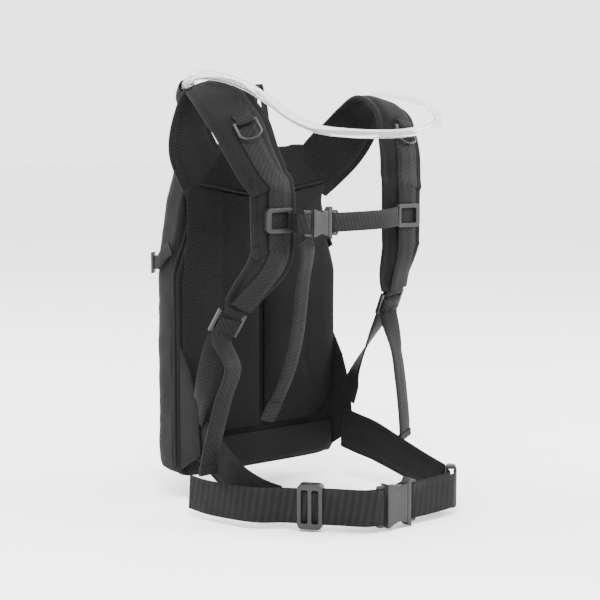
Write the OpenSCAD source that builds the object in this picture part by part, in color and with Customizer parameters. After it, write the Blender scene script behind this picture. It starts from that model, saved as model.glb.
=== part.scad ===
// Hydration pack: a slim bag with a water bladder, two padded shoulder straps,
// a chest strap, a waist belt and a drinking tube.
// Z is up, the wearer's back is towards -Y, and the origin is at the bottom
// centre of the face that lies on the back.

/* [Bag] */
// Width of the bag and of its back panel
bag_w = 232; // [200:1:270]
// Width of the bag just below its top
bag_top_w = 188; // [160:1:196]
// Height of the back panel at the neck dip
bag_h = 375; // [350:1:430]
// Depth of the bag from the wearer's back to its outer face
bag_d = 62; // [54:1:90]
// Radius of the bag's outer upright corners
bag_corner_r = 24; // [14:1:26]
// Thickness of the bag's padded cloth wall
bag_wall = 2; // [1.5:0.1:3]
// Thickness of the padding between the bag and the wearer
pad_t = 12; // [10:1:16]

/* [Front pocket] */
// Width of the front pocket
pocket_w = 188; // [140:1:190]
// Height of the front pocket
pocket_h = 158; // [130:1:190]
// How far the front pocket stands out from the bag
pocket_d = 18; // [14:1:36]

/* [Straps] */
// Thickness of the padded shoulder straps
strap_t = 12; // [8:0.5:13]
// Distance from the middle to the chest strap's sliders
chest_x = 92; // [86:1:100]
// Height of the chest strap
chest_z = 296; // [290:1:304]
// Width of the shoulder webbing
shoulder_web_w = 25; // [20:1:26]
// Width of the chest webbing
chest_web_w = 20; // [15:1:22]
// Width of the belt webbing
belt_web_w = 38; // [30:1:44]
// Thickness of all webbing
web_t = 1.6; // [1.2:0.1:1.8]

/* [Hose] */
// Outer diameter of the drinking tube
tube_d = 10; // [8:0.1:10.4]
// Diameter of the bladder's filler cap
cap_d = 64; // [50:1:76]

/* [Motion] */
// How far the chest strap slides up or down from its middle place
chest_travel = 12; // [6:1:14]

/* [Hidden] */

cloth = "#35363a";
mesh_cloth = "#292a2d";
webbing = "#3d3e42";
plastic = "#1d1e20";
clear_tube = "#e8eef2";

gap = 0.3;            // clearance between pieces that move past each other
seat = 0.2;           // clearance between pieces that lie on each other
half_w = bag_w / 2;
half_top = bag_top_w / 2;
bag_top = bag_h - 3;
step_n = 4;           // rings between two points of a route

// ---- vectors -------------------------------------------------------------
function unit(v) = v / norm(v);
function across(u, t) = unit(u - (u * t) * t);
function mix(a, b, f) = a + (b - a) * f;

// ---- a smooth curve through points, each a list of numbers -----------------
function knot(p, i) = p[max(0, min(len(p) - 1, i))];
function on_curve(p, i, f) =
  let (a = knot(p, i - 1), b = knot(p, i), c = knot(p, i + 1), d = knot(p, i + 2))
  0.5 * (2 * b + (c - a) * f + (2 * a - 5 * b + 4 * c - d) * f * f
         + (3 * b - a - 3 * c + d) * f * f * f);
function smooth(p, n) = concat(
  [for (i = [0 : len(p) - 2], k = [0 : n - 1]) on_curve(p, i, k / n)], [p[len(p) - 1]]);
function place(p) = [p[0], p[1], p[2]];
function heading(p, i) = unit(place(knot(p, i + 1)) - place(knot(p, i - 1)));

// ---- solids swept along a route ---------------------------------------------
// skin() closes a tube of rings that all have the same number of points.
module skin(rings) {
  n = len(rings[0]);
  m = len(rings);
  sides = [for (i = [0 : m - 2], j = [0 : n - 1]) each
    [[i * n + j, (i + 1) * n + j, (i + 1) * n + (j + 1) % n],
     [i * n + j, (i + 1) * n + (j + 1) % n, i * n + (j + 1) % n]]];
  cap_a = [[for (j = [0 : n - 1]) j]];
  cap_b = [[for (j = [n - 1 : -1 : 0]) (m - 1) * n + j]];
  polyhedron([for (r = rings) each r], concat(sides, cap_a, cap_b));
}

// A point of a band's route is [x, y, z, width, ux, uy, uz]: the place, the
// width there and the direction across the band.
function band_frame(r, i) =
  let (t = heading(r, i), u = across([r[i][4], r[i][5], r[i][6]], t))
  [place(r[i]), u, cross(t, u), t];
function band_ring(r, i, thick, off, round_edge) =
  let (f = band_frame(r, i), c = f[0] + f[2] * off, w = r[i][3] / 2, h = thick / 2,
       e = round_edge)
  e == 0
  ? [c + f[1] * w + f[2] * h, c - f[1] * w + f[2] * h,
     c - f[1] * w - f[2] * h, c + f[1] * w - f[2] * h]
  : [c + f[1] * w + f[2] * (h - e), c + f[1] * (w - e) + f[2] * h,
     c - f[1] * (w - e) + f[2] * h, c - f[1] * w + f[2] * (h - e),
     c - f[1] * w - f[2] * (h - e), c - f[1] * (w - e) - f[2] * h,
     c + f[1] * (w - e) - f[2] * h, c + f[1] * w - f[2] * (h - e)];
module band(r, thick, off = 0, round_edge = 0) {
  skin([for (i = [0 : len(r) - 1]) band_ring(r, i, thick, off, round_edge)]);
}

// A route that runs out along one side of path p, round its last point at
// distance rad, and back along the other side. back drops points off the end.
function round_bar(p, rad, back = 0) =
  let (m = len(p) - 1, e = band_frame(p, m))
  concat(
    [for (i = [0 : m]) let (f = band_frame(p, i))
      concat(f[0] + f[2] * rad, [p[i][3], f[1][0], f[1][1], f[1][2]])],
    [for (a = [30 : 30 : 150])
      concat(e[0] + (e[2] * cos(a) + e[3] * sin(a)) * rad,
             [p[m][3], e[1][0], e[1][1], e[1][2]])],
    [for (i = [m : -1 : back]) let (f = band_frame(p, i))
      concat(f[0] - f[2] * rad, [p[i][3], f[1][0], f[1][1], f[1][2]])]);

// A round tube along route points.
module tube(p, d, sides = 8) {
  up = [for (i = [0 : len(p) - 1]) across([0.3, 0.2, 1], heading(p, i))];
  skin([for (i = [0 : len(p) - 1])
    let (t = heading(p, i), v = cross(t, up[i]))
    [for (a = [0 : 360 / sides : 359]) p[i] + (up[i] * cos(a) + v * sin(a)) * d / 2]]);
}

// A rectangle about the origin with its corners rounded.
module rounded(a, b, r) {
  offset(r = r, $fn = 32) square([a - 2 * r, b - 2 * r], center = true);
}
// Puts a child's x, y and z along three directions at a place.
module at(c, x, y, z) {
  multmatrix([[x[0], y[0], z[0], c[0]], [x[1], y[1], z[1], c[1]],
              [x[2], y[2], z[2], c[2]], [0, 0, 0, 1]]) children();
}

// ---- the bag ------------------------------------------------------------------
// One level of the bag: a rectangle from y0 to y1 with round outer corners.
function level(z, hw, y0, y1, r) = concat(
  [[-hw, y0, z], [hw, y0, z]],
  [for (a = [0 : 18 : 90]) [hw - r + r * cos(a), y1 - r + r * sin(a), z]],
  [for (a = [90 : 18 : 180]) [-hw + r + r * cos(a), y1 - r + r * sin(a), z]]);
bag_levels = [
  // height, half width, depth
  [0, half_w - 12, bag_d - 14], [5, half_w - 4, bag_d - 4], [14, half_w, bag_d],
  [0.61 * bag_h, half_w, bag_d], [0.8 * bag_h, mix(half_w, half_top, 0.45), bag_d],
  [bag_h - 35, half_top, bag_d], [bag_h - 15, half_top - 4, bag_d - 3],
  [bag_top - 3, half_top - 12, bag_d - 12], [bag_top, half_top - 18, bag_d - 18]];
module bag_loft(inset, low = 0, high = 0) {
  skin([for (i = [0 : len(bag_levels) - 1])
    let (b = bag_levels[i], r = max(4, min(bag_corner_r, b[2] - pad_t - 6) - inset),
         z = min(max(b[0], inset + low), bag_top - inset - high))
    level(z + i * 0.001, b[1] - inset, pad_t + inset, b[2] - inset, r)]);
}
main_zip_z = bag_h - 52;
main_zip_w = 130;
zip_h = 8;
tape_t = 1.2;
// The zip's slot through a wall whose outer face is at y.
module zip_slot(w, y, z) {
  translate([-w / 2, y - bag_wall - 1, z - zip_h / 2]) cube([w, bag_wall + 2, zip_h]);
}
sleeve_foot = [-68, 34, bag_top + 2];
module bag_shell() {
  color(cloth) difference() {
    bag_loft(0);
    bag_loft(bag_wall);
    zip_slot(main_zip_w, bag_d, main_zip_z);
    translate([sleeve_foot[0], sleeve_foot[1], bag_top - 20]) cylinder(d = tube_d + 1, h = 40, $fn = 24);
  }
}

// ---- the bladder -----------------------------------------------------------------
cap_z = 246;
bladder_back = pad_t + bag_wall + 1;
bladder_front = bag_d - 20;
neck_t = 7;
module bladder() {
  color("lightskyblue", 0.5) difference() {
    skin([for (q = [[12, 14, 8], [16, 6, 3], [30, 0, 0], [280, 0, 0], [296, 6, 3], [300, 14, 8]])
      level(q[0], half_w - 22 - q[1], bladder_back + q[2] / 2, bladder_front - q[2] / 2,
            (bladder_front - bladder_back - q[2]) / 2)]);
    translate([0, bladder_front + 1, cap_z]) rotate([90, 0, 0])
      cylinder(d = cap_d - 18, h = (bladder_front - bladder_back) / 2, $fn = 48);
  }
}
module bladder_neck() {
  color("steelblue") translate([0, bladder_front, cap_z]) rotate([-90, 0, 0])
    difference() {
      union() {
        cylinder(d = cap_d - 2, h = 2, $fn = 64);
        cylinder(d = cap_d - 10, h = neck_t, $fn = 64);
      }
      translate([0, 0, -1]) cylinder(d = cap_d - 16, h = neck_t + 2, $fn = 64);
    }
}
module bladder_cap() {
  color("royalblue") translate([0, bladder_front + 2 + gap, cap_z]) rotate([-90, 0, 0])
    difference() {
      union() {
        cylinder(d = cap_d, h = neck_t + 2, $fn = 64);
        for (a = [0 : 45 : 315]) rotate(a) translate([cap_d / 2 - 1, 0, 0])
          cylinder(d = 5, h = neck_t + 1, $fn = 24);
        translate([-cap_d / 3, -3, neck_t + 1]) cube([cap_d / 1.5, 6, 3]);
      }
      translate([0, 0, -1]) cylinder(d = cap_d - 10 + 2 * gap, h = neck_t, $fn = 64);
    }
}
elbow_z = 34;
module hose_elbow() {
  color("steelblue") translate([0, bladder_front, elbow_z]) {
    rotate([-90, 0, 0]) cylinder(d = 22, h = 3, $fn = 48);
    rotate([-90, 0, 0]) cylinder(d = 9, h = 10, $fn = 32);
    translate([0, 10, 0]) sphere(d = 9, $fn = 24);
    translate([0, 10, 0]) rotate([0, -90, 0]) cylinder(d = 8, h = 12, $fn = 32);
  }
}
// The hose inside the bag, from the elbow up the left side to the sleeve.
inner_route = [
  [-12, 52, 34], [-30, 52, 36], [-62, 51, 54], [-76, 50, 90], [-78, 50, 150], [-78, 50, 210],
  [-78, 50, 270], [-74, 48, bag_h - 55], [-68, 39, bag_h - 25], [-68, 34, bag_h - 9], [-68, 34, bag_h + 5],
  [-76, 32, bag_h + 25], [-92, 20, bag_h + 43], [-108, 2, bag_h + 55],
  [-119, -20, bag_h + 64], [-123, -34, bag_h + 68]];
module inner_hose() {
  color(clear_tube) tube(smooth(inner_route, 3), tube_d, 8);
}

// ---- zips and the front pocket -----------------------------------------------------
module zipper_tape(w, y, z) {
  color(plastic) {
    translate([-w / 2 + seat, y - bag_wall + 0.2, z - zip_h / 2 + seat])
      cube([w - 2 * seat, tape_t, zip_h - 2 * seat]);
    translate([-w / 2 + 2, y - bag_wall + tape_t, z - 1]) cube([w - 4, 0.6, 2]);
  }
}
slider_l = 10;
slider_y = 0.4;
module zipper_slider(x, y, z) {
  color(plastic) translate([x, y + slider_y, z]) {
    translate([-slider_l / 2, 0, -4]) cube([slider_l, 2, 8]);
    difference() {
      translate([-2, 1.5, -3]) cube([4, 4, 6]);
      translate([-3, 3.4, 0]) rotate([0, 90, 0]) cylinder(d = 2.2, h = 6, $fn = 24);
    }
  }
}
puller_l = 30;
module zipper_puller(x, y, z) {
  color(webbing) translate([x, y + slider_y + 3.4, z]) {
    translate([-4.6, 0, 0]) rotate([0, 90, 0]) cylinder(d = 2, h = 9.2, $fn = 24);
    for (s = [-1, 1]) translate([s * 3.7 - 0.9, -1, -9]) cube([1.8, 2, 9]);
    translate([-4.6, -1, -puller_l]) cube([9.2, 2, puller_l - 8.5]);
  }
}
module main_zipper_tape() { zipper_tape(main_zip_w, bag_d, main_zip_z); }
module main_zipper_slider() { zipper_slider(-main_zip_w / 2 + 10, bag_d, main_zip_z); }
module main_zipper_puller() { zipper_puller(-main_zip_w / 2 + 10, bag_d, main_zip_z); }

pocket_low = 10;
pocket_top = pocket_low + pocket_h;
pocket_face = bag_d + pocket_d;
pocket_zip_z = pocket_top - 24;
pocket_zip_w = 120;
module pocket_loft(inset) {
  hw = pocket_w / 2;
  skin([for (q = [[pocket_low, 8, 10], [pocket_low + 4, 3, 4], [pocket_low + 14, 0, 0],
                  [pocket_top - 12, 0, 0], [pocket_top - 4, 3, 5], [pocket_top, 8, 12]])
    level(min(max(q[0], pocket_low + inset), pocket_top - inset) + q[0] * 0.0001,
          hw - q[1] - inset, bag_d + seat + inset,
          pocket_face - q[2] - inset, max(1, min(14, pocket_d - q[2] - 2) - inset))]);
}
module front_pocket() {
  color(cloth) difference() {
    pocket_loft(0);
    pocket_loft(bag_wall);
    zip_slot(pocket_zip_w, pocket_face, pocket_zip_z);
  }
}
module pocket_zipper_tape() { zipper_tape(pocket_zip_w, pocket_face, pocket_zip_z); }
module pocket_zipper_slider() { zipper_slider(-pocket_zip_w / 2 + 10, pocket_face, pocket_zip_z); }
module pocket_zipper_puller() { zipper_puller(-pocket_zip_w / 2 + 10, pocket_face, pocket_zip_z); }

// ---- the padding against the wearer ---------------------------------------------------
mesh_t = 5;
lumbar_z = 40;
board_top = bag_h - 58;
// Half width of the back panel at a height.
function panel_half(z) = z < 230 ? half_w : mix(half_w, half_w - 24, (z - 230) / 60);
module panel(x0, x1, z0, z1, y0, y1) {
  intersection() {
    translate([0, y1, 0]) rotate([90, 0, 0]) linear_extrude(y1 - y0)
      polygon([[-half_w + 6, 0], [half_w - 6, 0], [half_w, 8], [half_w, 230],
               [panel_half(290), 290], [panel_half(290), board_top],
               [-panel_half(290), board_top], [-panel_half(290), 290],
               [-half_w, 230], [-half_w, 8]]);
    translate([x0, y0 - 1, z0]) cube([x1 - x0, y1 - y0 + 2, z1 - z0]);
  }
}
module back_board() {
  color("dimgray") panel(-half_w, half_w, 0, board_top, mesh_t + seat, pad_t - seat);
}
module back_pad_left() { color(mesh_cloth) panel(-half_w, -seat, lumbar_z, board_top, 0, mesh_t); }
module back_pad_right() { color(mesh_cloth) panel(seat, half_w, lumbar_z, board_top, 0, mesh_t); }
module lumbar_panel() {
  color(cloth) panel(-half_w, half_w, 0, lumbar_z - seat, 0, mesh_t);
}

// ---- shoulder straps ---------------------------------------------------------------------
// Each point: x, y, z, width, and the direction across the strap.
slide_l = 26;        // length of a chest slider
// Half length of the upright stretch that the chest sliders run on, and how far
// the strap stays in line past it.
rail_straight = slide_l / 2 + chest_travel + 1;
rail_lead = rail_straight + 8;
strap_face_y = -136; // middle of the strap's thickness along that stretch
over = bag_h - chest_z - rail_lead;   // from that stretch up to the neck dip
left_strap_points = [
  [-74, 3.2, bag_h - 39, 70, 0.8, 0, 0.6],
  [-93, -3, bag_h - 19, 72, 0.8, 0.1, 0.6],
  [-110, -12, bag_h + 6, 71, 0.9, 0.2, 0.4],
  [-112, -26, bag_h + 37, 66, 0.95, 0.15, 0.25],
  [-108, -46, bag_h + 58, 64, 1, -0.1, 0.1],
  [-112, -72, bag_h + 50, 66, 1, -0.3, 0.1],
  [-113, -92, bag_h + 34, 66, 1, -0.4, 0.1],
  [-110, -107, bag_h + 17, 65, 1, -0.35, 0.1],
  [-105, -119, bag_h - 0.2 * over, 63, 1, -0.2, 0.05],
  [-98, -130, bag_h - 0.733 * over, 62, 1, -0.1, 0],
  [-chest_x, strap_face_y, chest_z + rail_lead, 60, 1, 0, 0],
  [-chest_x, strap_face_y, chest_z + rail_straight, 60, 1, 0, 0],
  [-chest_x, strap_face_y, chest_z - rail_straight, 58, 1, 0, 0],
  [-chest_x, strap_face_y, chest_z - rail_lead, 57, 1, 0, 0],
  [-97, -130, chest_z - 52, 54, 1, -0.1, -0.1],
  [-108, -114, chest_z - 76, 42, 1, -0.2, -0.2],
  [-115, -104, chest_z - 92, 34, 1, -0.25, -0.25]];
right_strap_points = [
  [74, 3.2, bag_h - 39, 70, 0.8, 0, -0.6],
  [93, -3, bag_h - 19, 72, 0.8, -0.1, -0.6],
  [112, -14, bag_h + 4, 70, 0.9, -0.25, -0.4],
  [120, -33, bag_h + 30, 62, 0.9, -0.25, -0.35],
  [117, -57, bag_h + 46, 62, 1, 0, -0.25],
  [114, -80, bag_h + 46, 62, 1, 0, -0.2],
  [112, -100, bag_h + 33, 60, 1, 0.05, -0.1],
  [108, -112, bag_h + 13, 60, 1, 0.05, 0],
  [102, -123, bag_h - 0.2 * over, 60, 1, 0, 0],
  [96, -131, bag_h - 0.733 * over, 59, 1, 0, 0],
  [chest_x, strap_face_y, chest_z + rail_lead, 58, 1, 0, 0],
  [chest_x, strap_face_y, chest_z + rail_straight, 58, 1, 0, 0],
  [chest_x, strap_face_y, chest_z - rail_straight, 57, 1, 0, 0],
  [chest_x, strap_face_y, chest_z - rail_lead, 56, 1, 0, 0],
  [94, -130, chest_z - 50, 54, 1, 0, 0.1],
  [101, -117, chest_z - 70, 44, 1, 0, 0.1],
  [107, -108, chest_z - 84, 34, 1, 0, 0.1]];
left_strap = smooth(left_strap_points, step_n);
right_strap = smooth(right_strap_points, step_n);
module strap(r) {
  color(cloth) band(r, strap_t, 0, 3);
}
module strap_left() { strap(left_strap); }
module strap_right() { strap(right_strap); }

// The yoke joins the straps' roots above the padding, with a dip for the neck.
module yoke() {
  color(mesh_cloth) difference() {
    translate([0, pad_t - seat, 0]) rotate([90, 0, 0]) linear_extrude(pad_t - seat)
      polygon(concat([[-half_w + 26, board_top + seat], [half_w - 26, board_top + seat]],
        [for (x = [80 : -10 : -80]) [x, bag_h + 14 * pow(x / 80, 4)]]));
    strap_left();
    strap_right();
  }
}

// Webbing sewn along each strap from the D-ring down to the ladder lock. A
// strap's outer face is on the side of its band that a positive off points to.
first_rail = 6 * step_n + 3;
last_rail = 16 * step_n - 1;
rail_lift = 2.6;      // gap under the rail, where the chest slider's back passes
rail_off = strap_t / 2 + rail_lift + web_t / 2;
function rail_of(r) = [for (i = [first_rail : last_rail])
  [r[i][0], r[i][1], r[i][2], shoulder_web_w, r[i][4], r[i][5], r[i][6]]];
module rail(r) { color(webbing) band(rail_of(r), web_t, rail_off); }
module rail_left() { rail(left_strap); }
module rail_right() { rail(right_strap); }

// ---- D-rings ----------------------------------------------------------------------------
ring_d = 3.2;         // diameter of the ring's wire
ring_w = 22;          // clear width inside the ring
ring_drop = 20;       // from the straight bar to the far side of the bow
ring_at = 7 * step_n;
// The frame of a strap's outer face, lifted clear of the rail.
function face_frame(r, i, lift) = let (f = band_frame(r, i))
  [f[0] + f[2] * (strap_t / 2 + lift), f[1], f[2], f[3]];
ring_tab_r = ring_d / 2 + gap + 1;
function ring_frame(r) = face_frame(r, ring_at, rail_lift + web_t + gap + ring_tab_r);
module d_ring(r) {
  f = ring_frame(r);
  bow = ring_w / 2 + ring_d / 2;
  color(plastic) at(f[0], f[1], f[3], -f[2]) {
    translate([-bow, 0, 0]) rotate([0, 90, 0]) cylinder(d = ring_d, h = 2 * bow, $fn = 24);
    for (s = [-1, 1]) translate([s * bow, 0, 0]) {
      sphere(d = ring_d, $fn = 24);
      rotate([-90, 0, 0]) cylinder(d = ring_d, h = ring_drop - bow * 0.62, $fn = 24);
    }
    translate([0, ring_drop - bow * 0.62, 0]) scale([1, 0.62, 1])
      intersection() {
        rotate_extrude($fn = 48) translate([bow, 0]) circle(d = ring_d, $fn = 24);
        translate([-bow - 5, 0, -5]) cube([2 * bow + 10, bow + 10, 10]);
      }
  }
}
module d_ring_left() { d_ring(left_strap); }
module d_ring_right() { d_ring(right_strap); }
// The webbing tunnel that holds a D-ring's straight bar.
module ring_tab(r) {
  f = ring_frame(r);
  at(f[0], f[1], f[3], -f[2]) difference() {
    union() {
      translate([-ring_w / 2 + 1, 0, 0]) rotate([0, 90, 0])
        cylinder(r = ring_tab_r, h = ring_w - 2, $fn = 32);
      translate([-ring_w / 2 + 1, -10, ring_tab_r - 1.2]) cube([ring_w - 2, 10, 1.2]);
    }
    translate([-ring_w, 0, 0]) rotate([0, 90, 0])
      cylinder(r = ring_d / 2 + gap, h = 2 * ring_w, $fn = 32);
  }
}
module d_ring_tabs() {
  color(webbing) {
    ring_tab(left_strap);
    ring_tab(right_strap);
  }
}

// ---- chest strap --------------------------------------------------------------------------
rail_y = strap_face_y - rail_off;
slide_back = 1.4;     // thickness of a slider's back wall, under the rail
// A slider that wraps round webbing of width w: the webbing runs along z.
slider_front = 2.2;   // thickness of a slider's front frame
slider_edge = 5;      // from the webbing's edge to the slider's outside
module web_slider(w, len_z, slot_t, windows) {
  deep = slide_back + slot_t + slider_front;
  difference() {
    rotate([90, 0, 0]) linear_extrude(deep) rounded(w + 2 * slider_edge, len_z, slider_edge);
    translate([-w / 2 - 2 * gap, -slide_back - slot_t, -len_z])
      cube([w + 4 * gap, slot_t, 2 * len_z]);
    for (z = windows) translate([0, -slide_back, z[0]]) rotate([90, 0, 0])
      linear_extrude(deep) rounded(w - 2, z[1], 2);
  }
}
slot_t = 2.6;
chest_slider_y = rail_y + slot_t / 2 + slide_back;
module chest_slider(s) {
  color(plastic) translate([s * chest_x, chest_slider_y, chest_z])
    difference() {
      web_slider(shoulder_web_w, slide_l, slot_t, [[0, slide_l - 9]]);
      // The slot at the inner edge that the chest webbing is threaded through.
      translate([-s * (shoulder_web_w / 2 + 3.2), -slide_back - slot_t - 0.6, 0])
        cube([1.9, 8, chest_web_w + 1.2], center = true);
    }
}
module chest_slider_left() { chest_slider(-1); }
module chest_slider_right() { chest_slider(1); }

// ---- side-release buckles ---------------------------------------------------------------
// Sizes follow the webbing width w. The buckle lies along x, its outside
// towards -y; the socket is at the low end and the plug at the high end.
function bk_h(w) = w + 9;         // height over the socket
function bk_t(w) = 5 + w * 0.17;  // thickness
function bk_s(w) = 9 + w * 0.5;   // length of the socket's hollow
bk_wall = 1.4;        // thickness of a buckle's front and back
bar_d = 3;
loop_r = (bar_d + 1) / 2 + web_t / 2 + gap;   // the webbing's middle, round a bar
bar_slot = 2 * (loop_r + web_t / 2 + 0.4);    // width of the slot that holds a bar
bar_reach = bar_slot / 2 + 1.3;               // from a bar to the rest of its buckle
plug_reach = bar_reach + 4.6;                 // from a plug's bar to its mouth
// The frame that webbing loops through, with its round bar at x = 0. It joins
// the rest of the buckle on the side that s points to.
module web_bar(w, s) {
  h = bk_h(w) - 2;
  rotate([90, 0, 0]) linear_extrude(bar_d + 1, center = true) difference() {
    translate([s * 0.3, 0]) rounded(bar_slot + 2.4, h, 2.4);
    translate([0.1, 0]) square([bar_slot, w + 4 * gap], center = true);
  }
  translate([0, 0, -h / 2 + 1]) cylinder(d = bar_d, h = h - 2, $fn = 24);
}
// The upper edge of the socket's face: it dips between its foot and its mouth,
// so that fingers reach the prongs.
function bk_dip(w) = bk_h(w) * 0.11;
function smoothed(f) = f * f * (3 - 2 * f);
function bk_edge(w) = [for (f = [0 : 0.1 : 1]) [bk_s(w) * f, bk_h(w) / 2 - bk_dip(w)
  * (f < 0.6 ? smoothed(f / 0.6) : 1 - 0.5 * smoothed((f - 0.6) / 0.4))]];
function mirrored(p) = [for (i = [len(p) - 1 : -1 : 0]) [p[i][0], -p[i][1]]];
module buckle_socket(w) {
  h = bk_h(w);
  t = bk_t(w);
  l = bk_s(w);
  translate([bar_reach, 0, 0]) difference() {
    rotate([90, 0, 0]) linear_extrude(t, center = true) polygon(concat(bk_edge(w), mirrored(bk_edge(w))));
    translate([1.5, -t / 2 + bk_wall, -h / 2 + 2.2]) cube([l, t - 2 * bk_wall, h - 4.4]);
    // Side windows that the prongs' shoulders show through.
    for (s = [-1, 1]) translate([2.5, -t / 2 + bk_wall, s * h / 2 - 3])
      cube([l - 6, t - 2 * bk_wall, 6]);
  }
  web_bar(w, 1);
}
// The plug: its webbing end, with an ear at each side, and a middle guide that
// enters the socket.
module buckle_plug(w) {
  h = bk_h(w) / 2;
  t = bk_t(w);
  l = bk_s(w);
  x0 = bar_reach + l + 0.6;
  ear = [[0, h - 2.8], [1.2, h - 0.6], [2.6, h + 1.6], [4, h + 2.6], [5.2, h + 2.4],
         [5.8, h + 1], [5, h - 3]];
  translate([x0, 0, 0]) rotate([90, 0, 0]) linear_extrude(t, center = true)
    polygon(concat(ear, mirrored(ear)));
  translate([x0 - l + 4, -t / 2 + bk_wall + gap, -2.5]) cube([l - 3.5, t - 2 * bk_wall - 2 * gap, 5]);
  translate([x0 + plug_reach, 0, 0]) web_bar(w, -1);
}
// How far the plug's bar lies from the socket's bar.
function bk_span(w) = bar_reach + bk_s(w) + 0.6 + plug_reach;
function prong_root(w) = [bar_reach + bk_s(w) - 1.2, (bk_h(w) / 2 - 2.2) - 3.4];
module buckle_prong(w, s) {
  t = bk_t(w) - 2 * bk_wall - 2 * gap;
  l = bk_s(w);
  root = prong_root(w);
  hook = bk_h(w) / 2 - 2.2 - gap;
  translate([root[0], t / 2, s * root[1]]) rotate([90, 0, 0]) cylinder(d = 3.2, h = t, $fn = 24);
  rotate([90, 0, 0]) translate([0, 0, -t / 2]) linear_extrude(t)
    polygon([[root[0], s * (root[1] - 1.6)], [root[0], s * (root[1] + 1.6)],
             [root[0] - l * 0.42, s * (root[1] + 1.4)], [root[0] - l * 0.45, s * hook],
             [root[0] - l * 0.72, s * hook], [root[0] - l * 0.84, s * (hook - 3)],
             [root[0] - l * 0.8, s * (root[1] - 1.6)]]);
}

chest_bk = [-70, strap_face_y - 30, chest_z - 3];
module chest_place() { translate(chest_bk) children(); }
module chest_buckle_socket() { color(plastic) chest_place() buckle_socket(chest_web_w); }
module chest_buckle_plug() { color(plastic) chest_place() buckle_plug(chest_web_w); }
module chest_prong_upper() { color(plastic) chest_place() buckle_prong(chest_web_w, 1); }
module chest_prong_lower() { color(plastic) chest_place() buckle_prong(chest_web_w, -1); }

slider_face_y = chest_slider_y - slide_back - slot_t - 2.2;
// The left webbing: sewn to its slider, round the socket's bar, and a tail
// that hangs down behind the left strap's inner edge.
left_chest_line = smooth([
  [-chest_x + 15.7, slider_face_y - 0.6, chest_z, chest_web_w, 0, 0, 1],
  [-chest_x + 15.5, slider_face_y - 6, chest_z - 1, chest_web_w, 0, 0, 1],
  concat(chest_bk + [-8.5, 2.5, 0], [chest_web_w, 0, 0, 1]),
  concat(chest_bk + [-4.5, 0, 0], [chest_web_w, 0, 0, 1]),
  concat(chest_bk, [chest_web_w, 0, 0, 1])], step_n);
chest_tail = smooth([
  [-68, -160, chest_z - 19, chest_web_w, 1, 0, 0],
  [-62, -156, chest_z - 30, chest_web_w, 1, 0.1, 0],
  [-54, -146, chest_z - 44, chest_web_w, 1, 0.2, 0],
  [-49, -134, chest_z - 68, chest_web_w, 1, 0.1, 0.1],
  [-46, -120, chest_z - 128, chest_web_w, 1, 0.1, 0],
  [-52, -108, chest_z - 176, chest_web_w, 1, 0.1, 0],
  [-66, -92, chest_z - 222, chest_web_w, 1, 0.1, 0]], 3);
module chest_webbing_left() {
  color(webbing) {
    band(round_bar(left_chest_line, loop_r, len(left_chest_line) - 3), web_t);
    band(chest_tail, web_t);
  }
}
chest_plug_bar = chest_bk + [bk_span(chest_web_w), 0, 0];
right_chest_line = smooth([
  [chest_x - 16, slider_face_y - 3, chest_z, chest_web_w, 0, 0, 1],
  [chest_x - 22, slider_face_y - 6.5, chest_z, chest_web_w, 0, 0, 1],
  [30, strap_face_y - 30, chest_z - 2, chest_web_w, 0, 0, 1],
  concat(chest_plug_bar, [chest_web_w, 0, 0, 1])], step_n);
module chest_webbing_right() {
  color(webbing) band(round_bar(right_chest_line, loop_r, 6), web_t);
}

// ---- ladder locks and shoulder webbing -----------------------------------------------------
lock_l = 27;
lock_t = 4;
lock_w = shoulder_web_w + 8;
// A lock hangs from the strap's end with its top bar lying across the strap,
// and leans towards the gusset that its webbing runs to.
gusset_x = half_w - 2;
gusset_tip = [-28, 84];   // y and z of the gusset's upper front corner
function lock_frame(r) =
  let (f = band_frame(r, len(r) - 1), c = f[0] + f[3] * 9,
       tip = [sign(c[0]) * gusset_x, gusset_tip[0], gusset_tip[1]],
       d = unit(mix(f[3], unit(tip - c), 0.6)), u = across(f[1], d))
  [c, u, cross(d, u), d];
module lock_bar(y0, y1, w) {
  hull() for (y = [y0, y1]) translate([0, y, 0]) rotate([0, 90, 0])
    cylinder(d = lock_t, h = w, center = true, $fn = 24);
}
module ladder_lock(r) {
  f = lock_frame(r);
  color(plastic) at(f[0], f[1], f[3], -f[2]) {
    translate([-lock_w / 2, 0, 0]) rotate([0, 90, 0]) cylinder(d = bar_d, h = lock_w, $fn = 24);
    for (s = [-1, 1]) translate([s * (lock_w / 2 - 1.5), 0, 0]) lock_bar(0, lock_l - lock_t / 2, 3);
    translate([-lock_w / 2, 9.5, 0]) rotate([0, 90, 0]) cylinder(d = bar_d, h = lock_w, $fn = 24);
    lock_bar(lock_l - 6, lock_l - lock_t / 2, lock_w);
  }
}
module ladder_lock_left() { ladder_lock(left_strap); }
module ladder_lock_right() { ladder_lock(right_strap); }
// The webbing loop, sewn to the strap's end, that holds a lock's top bar.
module lock_tab(r) {
  f = lock_frame(r);
  inner = bar_d + 2 * gap;
  at(f[0], f[1], f[3], -f[2]) difference() {
    union() {
      translate([-shoulder_web_w / 2, 0, 0]) rotate([0, 90, 0])
        cylinder(d = inner + 2 * web_t, h = shoulder_web_w, $fn = 32);
      translate([-shoulder_web_w / 2, -5.6, -inner / 2 - web_t])
        cube([shoulder_web_w, 5.6, inner + 2 * web_t]);
    }
    translate([-30, 0, 0]) rotate([0, 90, 0]) cylinder(d = inner, h = 60, $fn = 32);
  }
}
module lock_tabs() {
  color(webbing) {
    lock_tab(left_strap);
    lock_tab(right_strap);
  }
}
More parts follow.
